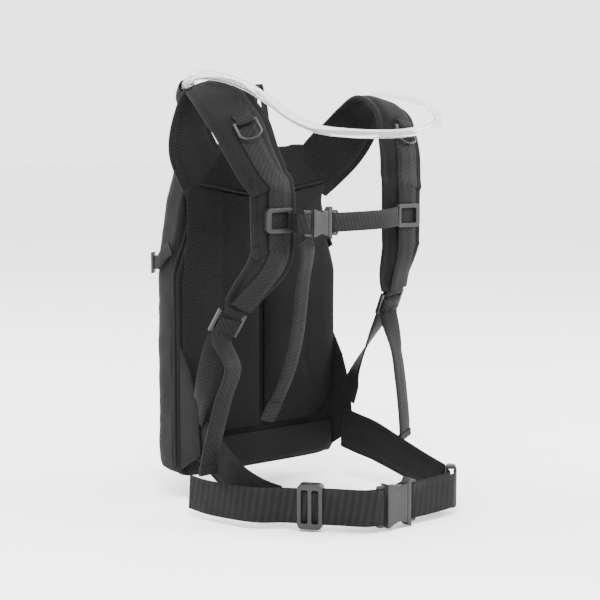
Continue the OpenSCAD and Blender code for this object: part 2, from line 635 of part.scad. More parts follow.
// The webbing is sewn to the gusset, runs up to the lock's second bar, over it
// and down again as a free tail.
lock_loop_r = lock_t / 2 + web_t / 2 + 0.4;
function lock_point(r, down, out) = let (f = lock_frame(r))
  concat(f[0] + f[3] * down + f[2] * out, [shoulder_web_w, f[1][0], f[1][1], f[1][2]]);
function anchor_line(s, r) = smooth([
  [s * (gusset_x + 1.4), gusset_tip[0] + 4, gusset_tip[1] - 16, shoulder_web_w, 0, s, 0.45 * s],
  [s * (gusset_x + 1.6), gusset_tip[0] - 3, gusset_tip[1] + 4, shoulder_web_w, 0, s, 0.45 * s],
  [s * (gusset_x + 1.2), gusset_tip[0] - 16, gusset_tip[1] + 28, shoulder_web_w, 0.5, 0.8 * s, 0.3 * s],
  lock_point(r, lock_l + 12, 0), lock_point(r, lock_l, 0), lock_point(r, 9.5, 0)], step_n);
// Tail points, from the lock down.
left_tail = [[-124, -108, 140], [-129, -98, 105], [-133, -89, 70], [-135, -82, 45], [-136, -78, 22]];
right_tail = [[106, -115, 140], [114, -114, 105], [121, -112, 70], [125, -110, 50], [128, -108, 32]];
module shoulder_webbing(s, r, tail_points) {
  line = anchor_line(s, r);
  f = lock_frame(r);
  looped = round_bar(line, lock_loop_r, len(line) - 1);
  tail = smooth(concat(
    [lock_point(r, 14, lock_loop_r), lock_point(r, 21, lock_loop_r + 0.3),
     lock_point(r, lock_l + 5, lock_loop_r + 4)],
    [for (p = tail_points) concat(p, [shoulder_web_w, f[1][0], f[1][1], f[1][2]])]), 3);
  color(webbing) band(concat(looped, tail), web_t);
}
module shoulder_webbing_left() { shoulder_webbing(-1, left_strap, left_tail); }
module shoulder_webbing_right() { shoulder_webbing(1, right_strap, right_tail); }

// ---- hip gussets and belt --------------------------------------------------------------------
gusset_t = 3;
module gusset(s) {
  color(cloth) translate([s * gusset_x - (s < 0 ? 0 : gusset_t), 0, 0]) rotate([90, 0, 90])
    linear_extrude(gusset_t)
      polygon([[-seat, 6], [-seat, 155], gusset_tip, [-34, 30]]);
}
module gusset_left() { gusset(-1); }
module gusset_right() { gusset(1); }

belt_z = -4;
wing_t = 4;
waist_bk = [-18, -224, belt_z];
right_slider_at = [97, -214, belt_z + 3];
left_wing_line = smooth([
  [-gusset_x + 6, -20, 50, 50, 0, 0.35, 1], [-gusset_x + 5.6, -42, 41, 48, 0, 0.3, 1],
  [-gusset_x + 6, -62, 29, 46, 0, 0.25, 1],
  [-gusset_x + 8, -90, 12, 42, 0, 0.15, 1], [-99, -121, 1, 39, 0, 0.1, 1],
  [-89, -143.5, -4, 38, 0, 0, 1]], step_n);
right_wing_line = smooth([
  [gusset_x - 6, -20, 34, 50, 0, 0, 1], [gusset_x - 5.6, -44, 30, 49, 0, 0.1, 1],
  [gusset_x - 3, -72, 25, 48, 0, 0.1, 1],
  [gusset_x - 3, -110, 16, 45, 0, 0.1, 1], [107, -160, 6, 42, 0, 0.1, 1],
  [101, -200, 1, 39, 0, 0, 1]], step_n);
module belt_wing_left() { color(cloth) band(left_wing_line, wing_t, 0, 1); }
module belt_wing_right() { color(cloth) band(right_wing_line, wing_t, 0, 1); }

// The left belt webbing in plan, from its tail to the socket's bar.
glide_at = [-72, -174, belt_z];
glide_dir = unit([-0.62, 0.78, 0]);
belt_line = smooth([
  [-136, -48, belt_z + 2, belt_web_w, 0, 0, 1], [-131, -80, belt_z, belt_web_w, 0, 0, 1],
  concat(glide_at + glide_dir * 62 + [-4, -4, 0], [belt_web_w, 0, 0, 1]),
  concat(glide_at + glide_dir * 30, [belt_web_w, 0, 0, 1]),
  concat(glide_at, [belt_web_w, 0, 0, 1]),
  concat(glide_at - glide_dir * 30, [belt_web_w, 0, 0, 1]),
  concat(waist_bk + [-20, 7, 0], [belt_web_w, 0, 0, 1]),
  concat(waist_bk + [-8, 0.3, 0], [belt_web_w, 0, 0, 1]),
  concat(waist_bk, [belt_web_w, 0, 0, 1])], step_n);
module belt_webbing_left() {
  color(webbing) band(round_bar(belt_line, loop_r, 15), web_t);
}
waist_plug_bar = waist_bk + [bk_span(belt_web_w), 0, 0];
slider_dir = unit([-0.65, -0.76, 0]);
belt_short = smooth([
  concat(right_slider_at + slider_dir * 1, [belt_web_w, 0, 0, 1]),
  concat(right_slider_at + slider_dir * 14 + [-2, 0, -1], [belt_web_w, 0, 0, 1]),
  concat(waist_plug_bar + [22, 0, 0], [belt_web_w, 0, 0, 1]),
  concat(waist_plug_bar + [8, 0, 0], [belt_web_w, 0, 0, 1]),
  concat(waist_plug_bar, [belt_web_w, 0, 0, 1])], step_n);
module belt_webbing_right() {
  color(webbing) band(round_bar(belt_short, loop_r, 0), web_t);
}
glide_slot = 2 * loop_r + web_t + 1.4;
module belt_triglide() {
  color(plastic) at(glide_at, [0, 0, 1], cross(glide_dir, [0, 0, 1]), glide_dir)
    translate([0, glide_slot / 2 + slide_back, 0])
      web_slider(belt_web_w, 27, glide_slot, [[-5.75, 7.5], [5.75, 7.5]]);
}
module belt_slider() {
  color(plastic) at(right_slider_at, [0, 0, 1], cross(slider_dir, [0, 0, 1]), slider_dir)
    difference() {
      linear_extrude(11, center = true) rounded(belt_web_w + 2 * slider_edge, 12, 4);
      linear_extrude(16, center = true) rounded(belt_web_w + 1.6, 8, 1.5);
    }
}
module waist_place() { translate(waist_bk) children(); }
module waist_buckle_socket() { color(plastic) waist_place() buckle_socket(belt_web_w); }
module waist_buckle_plug() { color(plastic) waist_place() buckle_plug(belt_web_w); }
module waist_prong_upper() { color(plastic) waist_place() buckle_prong(belt_web_w, 1); }
module waist_prong_lower() { color(plastic) waist_place() buckle_prong(belt_web_w, -1); }

// ---- haul loop ------------------------------------------------------------------------------
haul_z = bag_h + 2.2;
haul_h = 66;
haul_line = smooth([
  [-13, 5, haul_z, 3, 0, 1, 0], [-11.5, 5, haul_z + 9, 10, 0, 1, 0], [-9, 5, haul_z + 36, 10, 0, 1, 0],
  [-2.4, 5, haul_z + haul_h - 4, 10, 0, 1, 0], [0, 5, haul_z + haul_h, 10, 0, 1, 0],
  [2.4, 5, haul_z + haul_h - 4, 10, 0, 1, 0], [9, 5, haul_z + 36, 10, 0, 1, 0],
  [11.5, 5, haul_z + 9, 10, 0, 1, 0], [13, 5, haul_z, 3, 0, 1, 0]], step_n);
haul_hem_d = 3;       // the rolled hem that the loop swings on
module haul_loop() {
  color(webbing) {
    band(haul_line, 2);
    translate([-15, 5, haul_z]) rotate([0, 90, 0]) cylinder(d = haul_hem_d, h = 30, $fn = 24);
  }
}

// ---- drinking tube, its sleeve and its valve ---------------------------------------------------
sleeve_line = smooth([
  concat(sleeve_foot, [20, 1, 0, 0]), [-68, 34, bag_h + 7, 20, 1, 0, 0], [-76, 32, bag_h + 25, 20, 1, 0.1, 0],
  [-92, 20, bag_h + 43, 20, 1, 0.3, 0.2], [-108, 2, bag_h + 55, 19, 1, 0.2, 0.5],
  [-117, -17, bag_h + 62.5, 18, 1, 0, 0.4]], 3);
module hose_sleeve() {
  color(cloth) difference() {
    band(sleeve_line, 15, 0, 4);
    tube(smooth(inner_route, 3), tube_d + 1, 8);
    strap_left();
  }
}
// The free tube: over the left strap, across in front to the right strap, round
// behind it, and down behind the bag to the valve.
tube_route = [
  [-123, -34, bag_h + 68], [-125, -41, bag_h + 70], [-124, -52, bag_h + 72],
  [-118, -66, bag_h + 72], [-107, -81, bag_h + 68],
  [-92, -97, bag_h + 59], [-75, -112, bag_h + 44], [-56, -124, bag_h + 28], [-30, -136, bag_h + 16],
  [2, -147, bag_h + 12], [36, -155, bag_h + 11],
  [70, -159, bag_h + 12], [102, -157, bag_h + 16], [132, -147, bag_h + 22],
  [158, -127, bag_h + 29], [174, -106, bag_h + 38],
  [178, -84, bag_h + 47], [170, -62, bag_h + 55], [156, -44, bag_h + 59],
  [142, -26, bag_h + 55], [136, -6, bag_h + 41],
  [134, 16, bag_h + 21], [130, 38, bag_h - 3], [122, 58, bag_h - 29],
  [113, 70, bag_h - 57], [106, 76, bag_h - 85],
  [102, 78, bag_h - 113], [100, 78, bag_h - 137]];
module drink_tube() { color(clear_tube) tube(smooth(tube_route, 3), tube_d, 8); }
keeper_at = [136, -6, bag_h + 41];
module hose_keeper() {
  t = unit([134, 16, bag_h + 21] - [142, -26, bag_h + 55]);
  s = across([-1, 0, 0], t);
  color(webbing) at(keeper_at, s, cross(t, s), t)
    difference() {
      union() {
        cylinder(d = tube_d + 4.5, h = 12, center = true, $fn = 32);
        translate([0, -(tube_d + 4.5) / 2, -6]) cube([16, 2, 12]);
      }
      cylinder(d = tube_d + 1, h = 20, center = true, $fn = 32);
    }
}
valve_top = tube_route[len(tube_route) - 1];
valve_dir = unit(valve_top - tube_route[len(tube_route) - 2]);
module valve_place() {
  side = across([1, 0, 0], valve_dir);
  at(valve_top, side, cross(valve_dir, side), valve_dir) children();
}
module bite_valve_body() {
  color(plastic) valve_place() difference() {
    union() {
      cylinder(d = 14, h = 26, $fn = 40);
      translate([0, 0, 26]) cylinder(d = 9, h = 9, $fn = 32);
    }
    translate([0, 0, -1]) cylinder(d = 6, h = 40, $fn = 32);
    // The barrel of the shut-off lever lies across the body.
    translate([-12, 0, 16]) rotate([0, 90, 0]) cylinder(d = 7.2, h = 24, $fn = 32);
  }
}
module bite_valve_lever() {
  color("steelblue") valve_place() translate([0, 0, 16]) {
    translate([-10, 0, 0]) rotate([0, 90, 0]) difference() {
      cylinder(d = 7, h = 20, $fn = 32);
      translate([0, 0, 10]) rotate([90, 0, 0]) cylinder(d = 4, h = 20, center = true, $fn = 24);
    }
    translate([8, -2.5, -1]) cube([2, 5, 15]);
  }
}
module bite_valve_nipple() {
  color("lightskyblue") valve_place() translate([0, 0, 26 + gap]) difference() {
    union() {
      cylinder(d = 15, h = 10, $fn = 40);
      translate([0, 0, 10]) scale([1.35, 0.8, 1]) cylinder(d1 = 14, d2 = 12, h = 18, $fn = 32);
    }
    translate([0, 0, -1]) cylinder(d = 9.2, h = 10.4, $fn = 32);
    translate([0, 0, 9]) cylinder(d = 5, h = 17, $fn = 24);
  }
}

// ---- side compression straps -------------------------------------------------------------------
side_z = 244;
side_off = 1.2 + web_t / 2;
function side_line(s) = let (c = [half_w - bag_corner_r, bag_d - bag_corner_r], q = bag_corner_r + side_off)
  concat(
    [[s * (half_w + side_off), pad_t + 3, side_z + 16, 15, 0, -0.4, 1],
     [s * (half_w + side_off), pad_t + 14, side_z + 10, 15, 0, -0.4, 1]],
    [for (a = [0 : 22.5 : 67.5])
      [s * (c[0] + q * cos(a)), c[1] + q * sin(a), side_z - a / 15, 15, 0, 0, 1]]);
module side_straps() {
  color(webbing) for (s = [-1, 1]) band(side_line(s), web_t);
}
module side_buckles() {
  a = 45;
  for (s = [-1, 1])
    let (c = [half_w - bag_corner_r, bag_d - bag_corner_r], q = bag_corner_r + side_off + 2.8)
    color(plastic) translate([s * (c[0] + q * cos(a)), c[1] + q * sin(a), side_z - 3])
      rotate([0, 0, s * (90 - a) * -1]) difference() {
        cube([14, 3, 24], center = true);
        cube([5, 8, 16], center = true);
      }
}

bag_shell();
bladder();
bladder_neck();
bladder_cap();
hose_elbow();
inner_hose();
front_pocket();
main_zipper_tape();
main_zipper_slider();
main_zipper_puller();
pocket_zipper_tape();
pocket_zipper_slider();
pocket_zipper_puller();
back_board();
back_pad_left();
back_pad_right();
lumbar_panel();
yoke();
strap_left();
strap_right();
rail_left();
rail_right();
d_ring_tabs();
d_ring_left();
d_ring_right();
chest_slider_left();
chest_slider_right();
chest_webbing_left();
chest_webbing_right();
chest_buckle_socket();
chest_buckle_plug();
chest_prong_upper();
chest_prong_lower();
ladder_lock_left();
ladder_lock_right();
lock_tabs();
shoulder_webbing_left();
shoulder_webbing_right();
gusset_left();
gusset_right();
belt_wing_left();
belt_wing_right();
belt_webbing_left();
belt_webbing_right();
belt_triglide();
belt_slider();
waist_buckle_socket();
waist_buckle_plug();
waist_prong_upper();
waist_prong_lower();
haul_loop();
hose_sleeve();
hose_keeper();
drink_tube();
bite_valve_body();
bite_valve_nipple();
bite_valve_lever();
side_straps();
side_buckles();
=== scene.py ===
# %% [markdown]
# # A hydration pack
# A slim bag for a water bladder, carried on two padded straps. The measured
# model gives every piece its place, and these cells give each one its real
# cloth, webbing, plastic or clear tube. The first cell loads that model.

# %% Load the measured model
import math

import bmesh
import bpy
from mathutils import Matrix, Vector, noise


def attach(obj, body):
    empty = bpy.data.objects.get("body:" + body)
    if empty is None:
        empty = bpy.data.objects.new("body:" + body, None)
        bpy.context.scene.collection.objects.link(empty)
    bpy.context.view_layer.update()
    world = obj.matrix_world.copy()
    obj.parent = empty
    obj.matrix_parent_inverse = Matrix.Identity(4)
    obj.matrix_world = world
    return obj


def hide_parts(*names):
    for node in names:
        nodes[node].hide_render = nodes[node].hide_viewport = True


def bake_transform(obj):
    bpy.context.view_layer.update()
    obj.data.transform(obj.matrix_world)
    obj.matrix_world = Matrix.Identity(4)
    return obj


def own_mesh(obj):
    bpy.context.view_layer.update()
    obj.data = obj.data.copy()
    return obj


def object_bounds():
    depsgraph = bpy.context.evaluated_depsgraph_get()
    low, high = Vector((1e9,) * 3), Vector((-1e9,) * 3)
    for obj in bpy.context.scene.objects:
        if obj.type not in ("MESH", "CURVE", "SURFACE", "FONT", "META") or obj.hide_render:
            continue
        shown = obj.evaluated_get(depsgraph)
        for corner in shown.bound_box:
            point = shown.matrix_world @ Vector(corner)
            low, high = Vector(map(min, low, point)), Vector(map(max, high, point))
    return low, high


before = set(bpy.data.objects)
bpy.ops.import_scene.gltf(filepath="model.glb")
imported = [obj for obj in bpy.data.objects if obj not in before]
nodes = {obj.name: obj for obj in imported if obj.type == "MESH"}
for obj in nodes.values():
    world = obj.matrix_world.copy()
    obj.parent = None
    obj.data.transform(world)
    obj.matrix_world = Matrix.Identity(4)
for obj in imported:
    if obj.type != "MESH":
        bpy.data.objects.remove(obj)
cad_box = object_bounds()
MM = 0.001
print("measured box in mm:", [[round(v / MM) for v in corner] for corner in cad_box])

# %% [markdown]
# ## The camera
# A product picture like this is taken with a long lens from a little above the
# middle of the pack, so its two sides stay nearly parallel.

# %% Place the camera
lens = bpy.data.cameras.new("camera")
lens.lens, lens.sensor_width, lens.clip_end = 84, 36, 50
camera = bpy.data.objects.new("camera", lens)
turn, dip = math.radians(39.55), math.radians(6.16)
sight = Vector((math.sin(turn) * math.cos(dip), math.cos(turn) * math.cos(dip), -math.sin(dip)))
camera.location = (-1.0, -1.28, 0.37)
camera.rotation_euler = sight.to_track_quat("-Z", "Y").to_euler()
bpy.context.scene.collection.objects.link(camera)
bpy.context.scene.camera = camera

# %% [markdown]
# ## Curves through chosen points
# Straps, webbing and the tube all follow a line through the air. Each line is a
# handful of points in millimetres, and a smooth curve is drawn through them. A
# flat band also needs its width and the direction across it at every point.


# %% Smooth curves and the frames along them
def smooth_route(points, steps):
    route, last = [], len(points) - 1
    for i in range(last):
        a, b, c, d = (points[max(0, min(last, i + k))] for k in (-1, 0, 1, 2))
        for step in range(steps):
            f = step / steps
            route.append([
                0.5 * (2 * q + (r - p) * f + (2 * p - 5 * q + 4 * r - s) * f * f
                       + (3 * q - p - 3 * r + s) * f ** 3)
                for p, q, r, s in zip(a, b, c, d)])
    route.append(list(points[last]))
    return route


def heading(route, i):
    ahead, behind = route[min(i + 1, len(route) - 1)], route[max(i - 1, 0)]
    return (Vector(ahead[:3]) - Vector(behind[:3])).normalized()


def band_frame(route, i):
    along = heading(route, i)
    hint = Vector(route[i][4:7])
    across = (hint - hint.dot(along) * along).normalized()
    return Vector(route[i][:3]), across, along.cross(across), along


# %% [markdown]
# ## Sweeping a section along a route
# Webbing, padding and tube are one outline pulled along a curve. The outline
# starts as a single face, and the extrude operator copies it to the next place
# on the route again and again, which leaves one closed skin. Two numbers are
# kept on every corner, how far along and how far across it lies, and the weave
# later follows them round every bend.


# %% The sweep
def new_piece(name, bm, material, sharp=40):
    mesh = bpy.data.meshes.new(name)
    bm.to_mesh(mesh)
    bm.free()
    mesh.shade_smooth()
    mesh.set_sharp_from_angle(angle=math.radians(sharp))
    mesh.materials.append(material)
    piece = bpy.data.objects.new(name, mesh)
    bpy.context.scene.collection.objects.link(piece)
    return piece


def pull_section(bm, stations, sections):
    """stations are (place, across, outward); sections give (across, outward) points at each,
    and may give how far round the outline each point lies."""
    spot = bm.verts.layers.int.get("spot") or bm.verts.layers.int.new("spot")
    along = bm.verts.layers.float.get("along") or bm.verts.layers.float.new("along")
    side = bm.verts.layers.float.get("side") or bm.verts.layers.float.new("side")
    around = bm.verts.layers.float.get("around") or bm.verts.layers.float.new("around")

    def settle(vert, station, section, distance):
        place, across, outward = station
        a, b, *run = section[vert[spot]]
        vert.co = (place + across * a + outward * b) * MM
        vert[along], vert[side], vert[around] = distance * MM, (run[0] if run else a) * MM, b * MM

    ring = []
    for k in range(len(sections[0])):
        vert = bm.verts.new()
        vert[spot] = k
        settle(vert, stations[0], sections[0], 0)
        ring.append(vert)
    end, distance = bm.faces.new(ring), 0
    for i in range(1, len(stations)):
        distance += (stations[i][0] - stations[i - 1][0]).length
        made = bmesh.ops.extrude_face_region(bm, geom=[end])["geom"]
        end = next(g for g in made if isinstance(g, bmesh.types.BMFace))
        for vert in end.verts:
            settle(vert, stations[i], sections[i], distance)
    return distance


def flat_section(width, thick, lift=0, rolled=0.5):
    """A webbing's outline: nearly a rectangle, its edges rolled and its middle split for the weave."""
    w, h, e = width / 2, thick / 2, min(rolled, thick / 2.2)
    top = [(w, lift), (w - e, lift + h), (w * 0.33, lift + h),
           (-w * 0.33, lift + h), (-w + e, lift + h)]
    return top + [(-w, lift), (-w + e, lift - h), (-w * 0.33, lift - h),
                  (w * 0.33, lift - h), (w - e, lift - h)]


def webbing_piece(name, routes, thick, material, body="root", stands_for=(),
                  lift=None):
    bm = bmesh.new()
    for route in routes:
        stations = [band_frame(route, i)[:3] for i in range(len(route))]
        lifts = [lift(i, route) if lift else 0 for i in range(len(route))]
        pull_section(bm, stations, [flat_section(p[3], thick, up) for p, up in zip(route, lifts)])
    bmesh.ops.recalc_face_normals(bm, faces=bm.faces)
    piece = new_piece(name, bm, material, 60)
    return finish_piece(piece, body, stands_for)


def finish_piece(piece, body, stands_for):
    if body:
        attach(piece, body)
    if stands_for:
        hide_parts(*stands_for)
    print(piece.name, len(piece.data.polygons), "faces")
    return piece


def finish_padding(piece, stands_for):
    """Cloth sewn over padding also has its skin rounded once."""
    swell = piece.modifiers.new("rounded skin", "SUBSURF")
    swell.levels = swell.render_levels = 1
    finish_piece(piece, "root", stands_for)
    return piece


# %% [markdown]
# ## Building materials from nodes
# A small helper adds a node and wires it in one line. Effects that several
# finishes share are node groups, built once: the plain weave of cloth, the ribs
# of webbing, the holes of air mesh, a row of stitches, slow colour variation,
# and the fine grain of moulded plastic.


# %% Node helpers
def wire(tree, kind, inputs=None, **settings):
    made = tree.nodes.new("ShaderNode" + kind)
    for key, value in settings.items():
        setattr(made, key, value)
    for key, value in (inputs or {}).items():
        if isinstance(value, bpy.types.NodeSocket):
            tree.links.new(value, made.inputs[key])
        else:
            made.inputs[key].default_value = value
    return made


def calc(tree, operation, *values):
    return wire(tree, "Math", dict(enumerate(values)), operation=operation).outputs[0]


def fade(tree, value, low, high, to_low=0.0, to_high=1.0):
    return wire(tree, "MapRange", {0: value, 1: low, 2: high, 3: to_low, 4: to_high},
                interpolation_type="SMOOTHSTEP").outputs[0]


def new_group(name, inputs, outputs):
    tree = bpy.data.node_groups.new(name, "ShaderNodeTree")
    for label, kind in inputs:
        tree.interface.new_socket(label, in_out="INPUT", socket_type="NodeSocket" + kind)
    for label in outputs:
        tree.interface.new_socket(label, in_out="OUTPUT", socket_type="NodeSocketFloat")
    return tree, tree.nodes.new("NodeGroupInput").outputs, tree.nodes.new("NodeGroupOutput").inputs


def wave(tree, value, pitch):
    turns = calc(tree, "DIVIDE", value, pitch)
    return calc(tree, "SINE", calc(tree, "MULTIPLY", turns, math.tau))


# %% The plain weave of cloth
weave, given, result = new_group(
    "plain_weave", [("Along", "Float"), ("Side", "Float"), ("Thread", "Float")], ["Height"])
weave.links.new(
    calc(weave, "MULTIPLY", wave(weave, given[0], given[2]), wave(weave, given[1], given[2])),
    result[0])

# %% [markdown]
# Webbing is woven in slanting ribs, and finer threads run the length of the
# tape. The ribs are wide soft waves, and the threads a small ripple on them.

# %% The ribs of webbing
ribs, given, result = new_group(
    "webbing_ribs",
    [("Along", "Float"), ("Side", "Float"), ("Rib", "Float"), ("Slant", "Float")], ["Height", "Rib"])
slanted = calc(ribs, "MULTIPLY_ADD", given[1], given[3], given[0])
coarse = fade(ribs, wave(ribs, slanted, given[2]), -1.0, 1.0)
fine = calc(ribs, "MULTIPLY", wave(ribs, slanted, 0.0011), wave(ribs, given[1], 0.0014))
ribs.links.new(calc(ribs, "MULTIPLY_ADD", fine, 0.35, coarse), result[0])
ribs.links.new(coarse, result[1])

# %% [markdown]
# Air mesh is a knit with open holes in a honeycomb. Three waves at sixty degrees
# to each other add up to peaks in just that pattern, and the peaks become holes.

# %% The holes of air mesh
holes, given, result = new_group(
    "air_mesh", [("Along", "Float"), ("Side", "Float"), ("Pitch", "Float")], ["Hole", "Height"])
half = calc(holes, "MULTIPLY", given[0], 0.5)
lean = calc(holes, "MULTIPLY", given[1], 0.866)
waves = [
    wave(holes, calc(holes, "ADD", v, 0.00031), given[2])
    for v in (given[0], calc(holes, "ADD", half, lean), calc(holes, "SUBTRACT", half, lean))]
total = calc(holes, "ADD", calc(holes, "ADD", waves[0], calc(holes, "MULTIPLY", waves[1], -1)),
             calc(holes, "MULTIPLY", waves[2], -1))
hole = fade(holes, total, 0.1, 1.5)
holes.links.new(hole, result[0])
holes.links.new(calc(holes, "SUBTRACT", 1.0, hole), result[1])

# %% A row of stitches
stitches, given, result = new_group(
    "stitch_row",
    [("Along", "Float"), ("Side", "Float"), ("Place", "Float"), ("Pitch", "Float")], ["Thread", "Dent"])
off_line = calc(stitches, "ABSOLUTE",
                calc(stitches, "SUBTRACT", calc(stitches, "ABSOLUTE", given[1]), given[2]))
dash = fade(stitches, wave(stitches, given[0], given[3]), -0.7, -0.3)
on_line = fade(stitches, off_line, 0.0003, 0.0006, 1.0, 0.0)
stitches.links.new(calc(stitches, "MULTIPLY", on_line, dash), result[0])
stitches.links.new(fade(stitches, off_line, 0.0004, 0.0022, 1.0, 0.0), result[1])

# %% Slow variation over cloth and plastic
patches, given, result = new_group(
    "slow_patches", [("Position", "Vector"), ("Size", "Float")], ["Patch", "Lint"])
broad = wire(patches, "TexNoise", {"Vector": given[0], "Scale": given[1], "Detail": 3.0})
lint = wire(patches, "TexNoise", {"Vector": given[0], "Scale": 900.0, "Detail": 2.0})
patches.links.new(fade(patches, broad.outputs["Fac"], 0.3, 0.7), result[0])
patches.links.new(fade(patches, lint.outputs["Fac"], 0.6, 0.78), result[1])

# %% The grain of moulded plastic
grain, given, result = new_group("moulded_grain", [("Position", "Vector")], ["Height", "Scuff"])
specks = wire(grain, "TexNoise", {"Vector": given[0], "Scale": 1600.0, "Detail": 2.0})
scuff = wire(grain, "TexNoise", {"Vector": given[0], "Scale": 60.0, "Detail": 6.0, "Distortion": 0.6})
grain.links.new(specks.outputs["Fac"], result[0])
grain.links.new(fade(grain, scuff.outputs["Fac"], 0.52, 0.72), result[1])


# %% [markdown]
# ## The finishes
# Each finish keeps its own Principled shader, with its constants set right on
# the sockets, and takes its changing colour, roughness and bump from the
# groups.


# %% Starting a finish
def new_finish(name, **constants):
    material = bpy.data.materials.new(name)
    material.use_nodes = True
    tree = material.node_tree
    shader = tree.nodes["Principled BSDF"]
    for label, value in constants.items():
        shader.inputs[label.replace("_", " ")].default_value = value
    return material, tree, shader


def use_group(tree, group, **inputs):
    made = tree.nodes.new("ShaderNodeGroup")
    made.node_tree = group
    for label, value in inputs.items():
        if isinstance(value, bpy.types.NodeSocket):
            tree.links.new(value, made.inputs[label])
        else:
            made.inputs[label].default_value = value
    return made.outputs


def position(tree):
    return wire(tree, "TexCoord").outputs["Object"]


def carried(tree, name):
    return wire(tree, "Attribute", attribute_name=name).outputs["Fac"]


def tint(tree, amount, low, high):
    mixed = wire(tree, "Mix", {0: amount, 6: (*low, 1), 7: (*high, 1)}, data_type="RGBA")
    return mixed.outputs[2]


def bumped(tree, shader, height, strength, depth):
    bump = wire(tree, "Bump", {"Height": height, "Strength": strength, "Distance": depth})
    tree.links.new(bump.outputs["Normal"], shader.inputs["Normal"])


def flat_axes(tree):
    axes = wire(tree, "SeparateXYZ", {0: position(tree)}).outputs
    return axes["Z"], axes["X"]


def swept_axes(tree):
    return carried(tree, "along"), carried(tree, "side")


# %% [markdown]
# The bag is sewn from a coarse black nylon. Close up it is a plain weave with a
# little lint, its thread crests painted lighter and the gaps between them darker
# as painted shade, and from afar it goes slightly lighter and darker where it
# has been handled. A row of stitches may follow the edge of a swept piece.


# %% Cloth
def cloth_finish(name, axes, tone=0.0052, thread=0.0011, rows=(), sheen=0.03):
    material, tree, shader = new_finish(
        name, Roughness=0.8, Sheen_Weight=sheen, Sheen_Roughness=0.45, Specular_IOR_Level=0.07)
    along, side = axes(tree)
    threads = use_group(tree, weave, Along=along, Side=side, Thread=thread)["Height"]
    patch = use_group(tree, patches, Position=position(tree), Size=14.0)
    # Painted shade: the weave's thread crests are coloured lighter and the gaps between threads darker; the
    # slow patches and lint are random tone.
    shade = calc(tree, "MULTIPLY_ADD", threads, 0.22, calc(tree, "MULTIPLY_ADD", patch["Patch"], 0.35, 0.3))
    height = calc(tree, "MULTIPLY_ADD", patch["Patch"], 0.3, threads)
    for place, pitch in rows:
        row = use_group(tree, stitches, Along=along, Side=side, Place=place, Pitch=pitch)
        shade = calc(tree, "MULTIPLY_ADD", row["Thread"], 0.9, shade)
        raised = calc(tree, "MULTIPLY_ADD", row["Thread"], 1.4, height)
        height = calc(tree, "MULTIPLY_ADD", row["Dent"], -2.5, raised)
    shade = calc(tree, "MULTIPLY_ADD", patch["Lint"], 0.25, shade)
    low, high = [tone * 0.62] * 2 + [tone * 0.66], [tone * 1.5] * 2 + [tone * 1.58]
    tree.links.new(tint(tree, shade, low, high), shader.inputs["Base Color"])
    bumped(tree, shader, height, 0.4, 0.0002)
    return material


# %% [markdown]
# Air mesh lets the back breathe. Its holes are painted darker than its yarn, as
# painted shade in the hollows of the knit, and the yarn stands up round each of them.


# %% Air mesh
def mesh_finish(name, axes, pitch=0.0026, tone=0.0056, rows=()):
    material, tree, shader = new_finish(
        name, Roughness=0.9, Sheen_Weight=0.015, Sheen_Roughness=0.5, Specular_IOR_Level=0.05)
    along, side = axes(tree)
    net = use_group(tree, holes, Along=along, Side=side, Pitch=pitch)
    patch = use_group(tree, patches, Position=position(tree), Size=9.0)
    # Painted shade: the holes are coloured far darker than the yarn round them, shade painted into the
    # hollows; the slow patches are random tone.
    shade = calc(tree, "MULTIPLY_ADD", patch["Patch"], 0.25, calc(tree, "MULTIPLY", net["Height"], 0.75))
    height = net["Height"]
    for place, stitch in rows:
        row = use_group(tree, stitches, Along=along, Side=side, Place=place, Pitch=stitch)
        height = calc(tree, "MULTIPLY_ADD", row["Dent"], -3.0, height)
    tree.links.new(tint(tree, shade, [tone * 0.25] * 3, [tone * 1.55] * 3), shader.inputs["Base Color"])
    bumped(tree, shader, height, 0.9, 0.0006)
    return material


# %% Webbing
def webbing_finish(name, rib=0.0056, slant=0.8, tone=0.0062, edge=None):
    material, tree, shader = new_finish(
        name, Roughness=0.62, Sheen_Weight=0.02, Sheen_Roughness=0.35, Specular_IOR_Level=0.09)
    along, side = swept_axes(tree)
    rib_group = use_group(tree, ribs, Along=along, Side=side, Rib=rib, Slant=slant)
    patch = use_group(tree, patches, Position=position(tree), Size=30.0)
    # Painted shade: the ribs' crests are coloured lighter and their grooves darker, following the rib relief;
    # the slow patches and lint are random tone.
    shade = calc(tree, "MULTIPLY_ADD", rib_group["Height"], 0.5, calc(tree, "MULTIPLY", patch["Patch"], 0.25))
    height = rib_group["Height"]
    if edge:
        row = use_group(tree, stitches, Along=along, Side=side, Place=edge, Pitch=0.003)
        shade = calc(tree, "MULTIPLY_ADD", row["Thread"], 0.5, shade)
        height = calc(tree, "MULTIPLY_ADD", row["Dent"], -1.2, height)
    shade = calc(tree, "MULTIPLY_ADD", patch["Lint"], 0.2, shade)
    tree.links.new(tint(tree, shade, [tone * 0.55] * 3, [tone * 1.5] * 3), shader.inputs["Base Color"])
    bumped(tree, shader, height, 0.4, 0.0004)
    return material


# %% [markdown]
# Buckles are moulded acetal, satin rather than shiny, with a fine spark-eroded
# grain. Handling polishes some patches and scuffs others.


# %% Moulded plastic
def plastic_finish(name, tone, rough=0.42, colour=None, coat=0.0):
    material, tree, shader = new_finish(name, Specular_IOR_Level=0.36, Coat_Weight=coat)
    marks = use_group(tree, grain, Position=position(tree))
    low = colour or [tone] * 3
    tree.links.new(tint(tree, marks["Scuff"], low, [v * 1.35 + 0.004 for v in low]),
                   shader.inputs["Base Color"])
    tree.links.new(fade(tree, marks["Scuff"], 0.0, 1.0, rough, rough + 0.14),
                   shader.inputs["Roughness"])
    bumped(tree, shader, marks["Height"], 0.25, 0.0002)
    return material


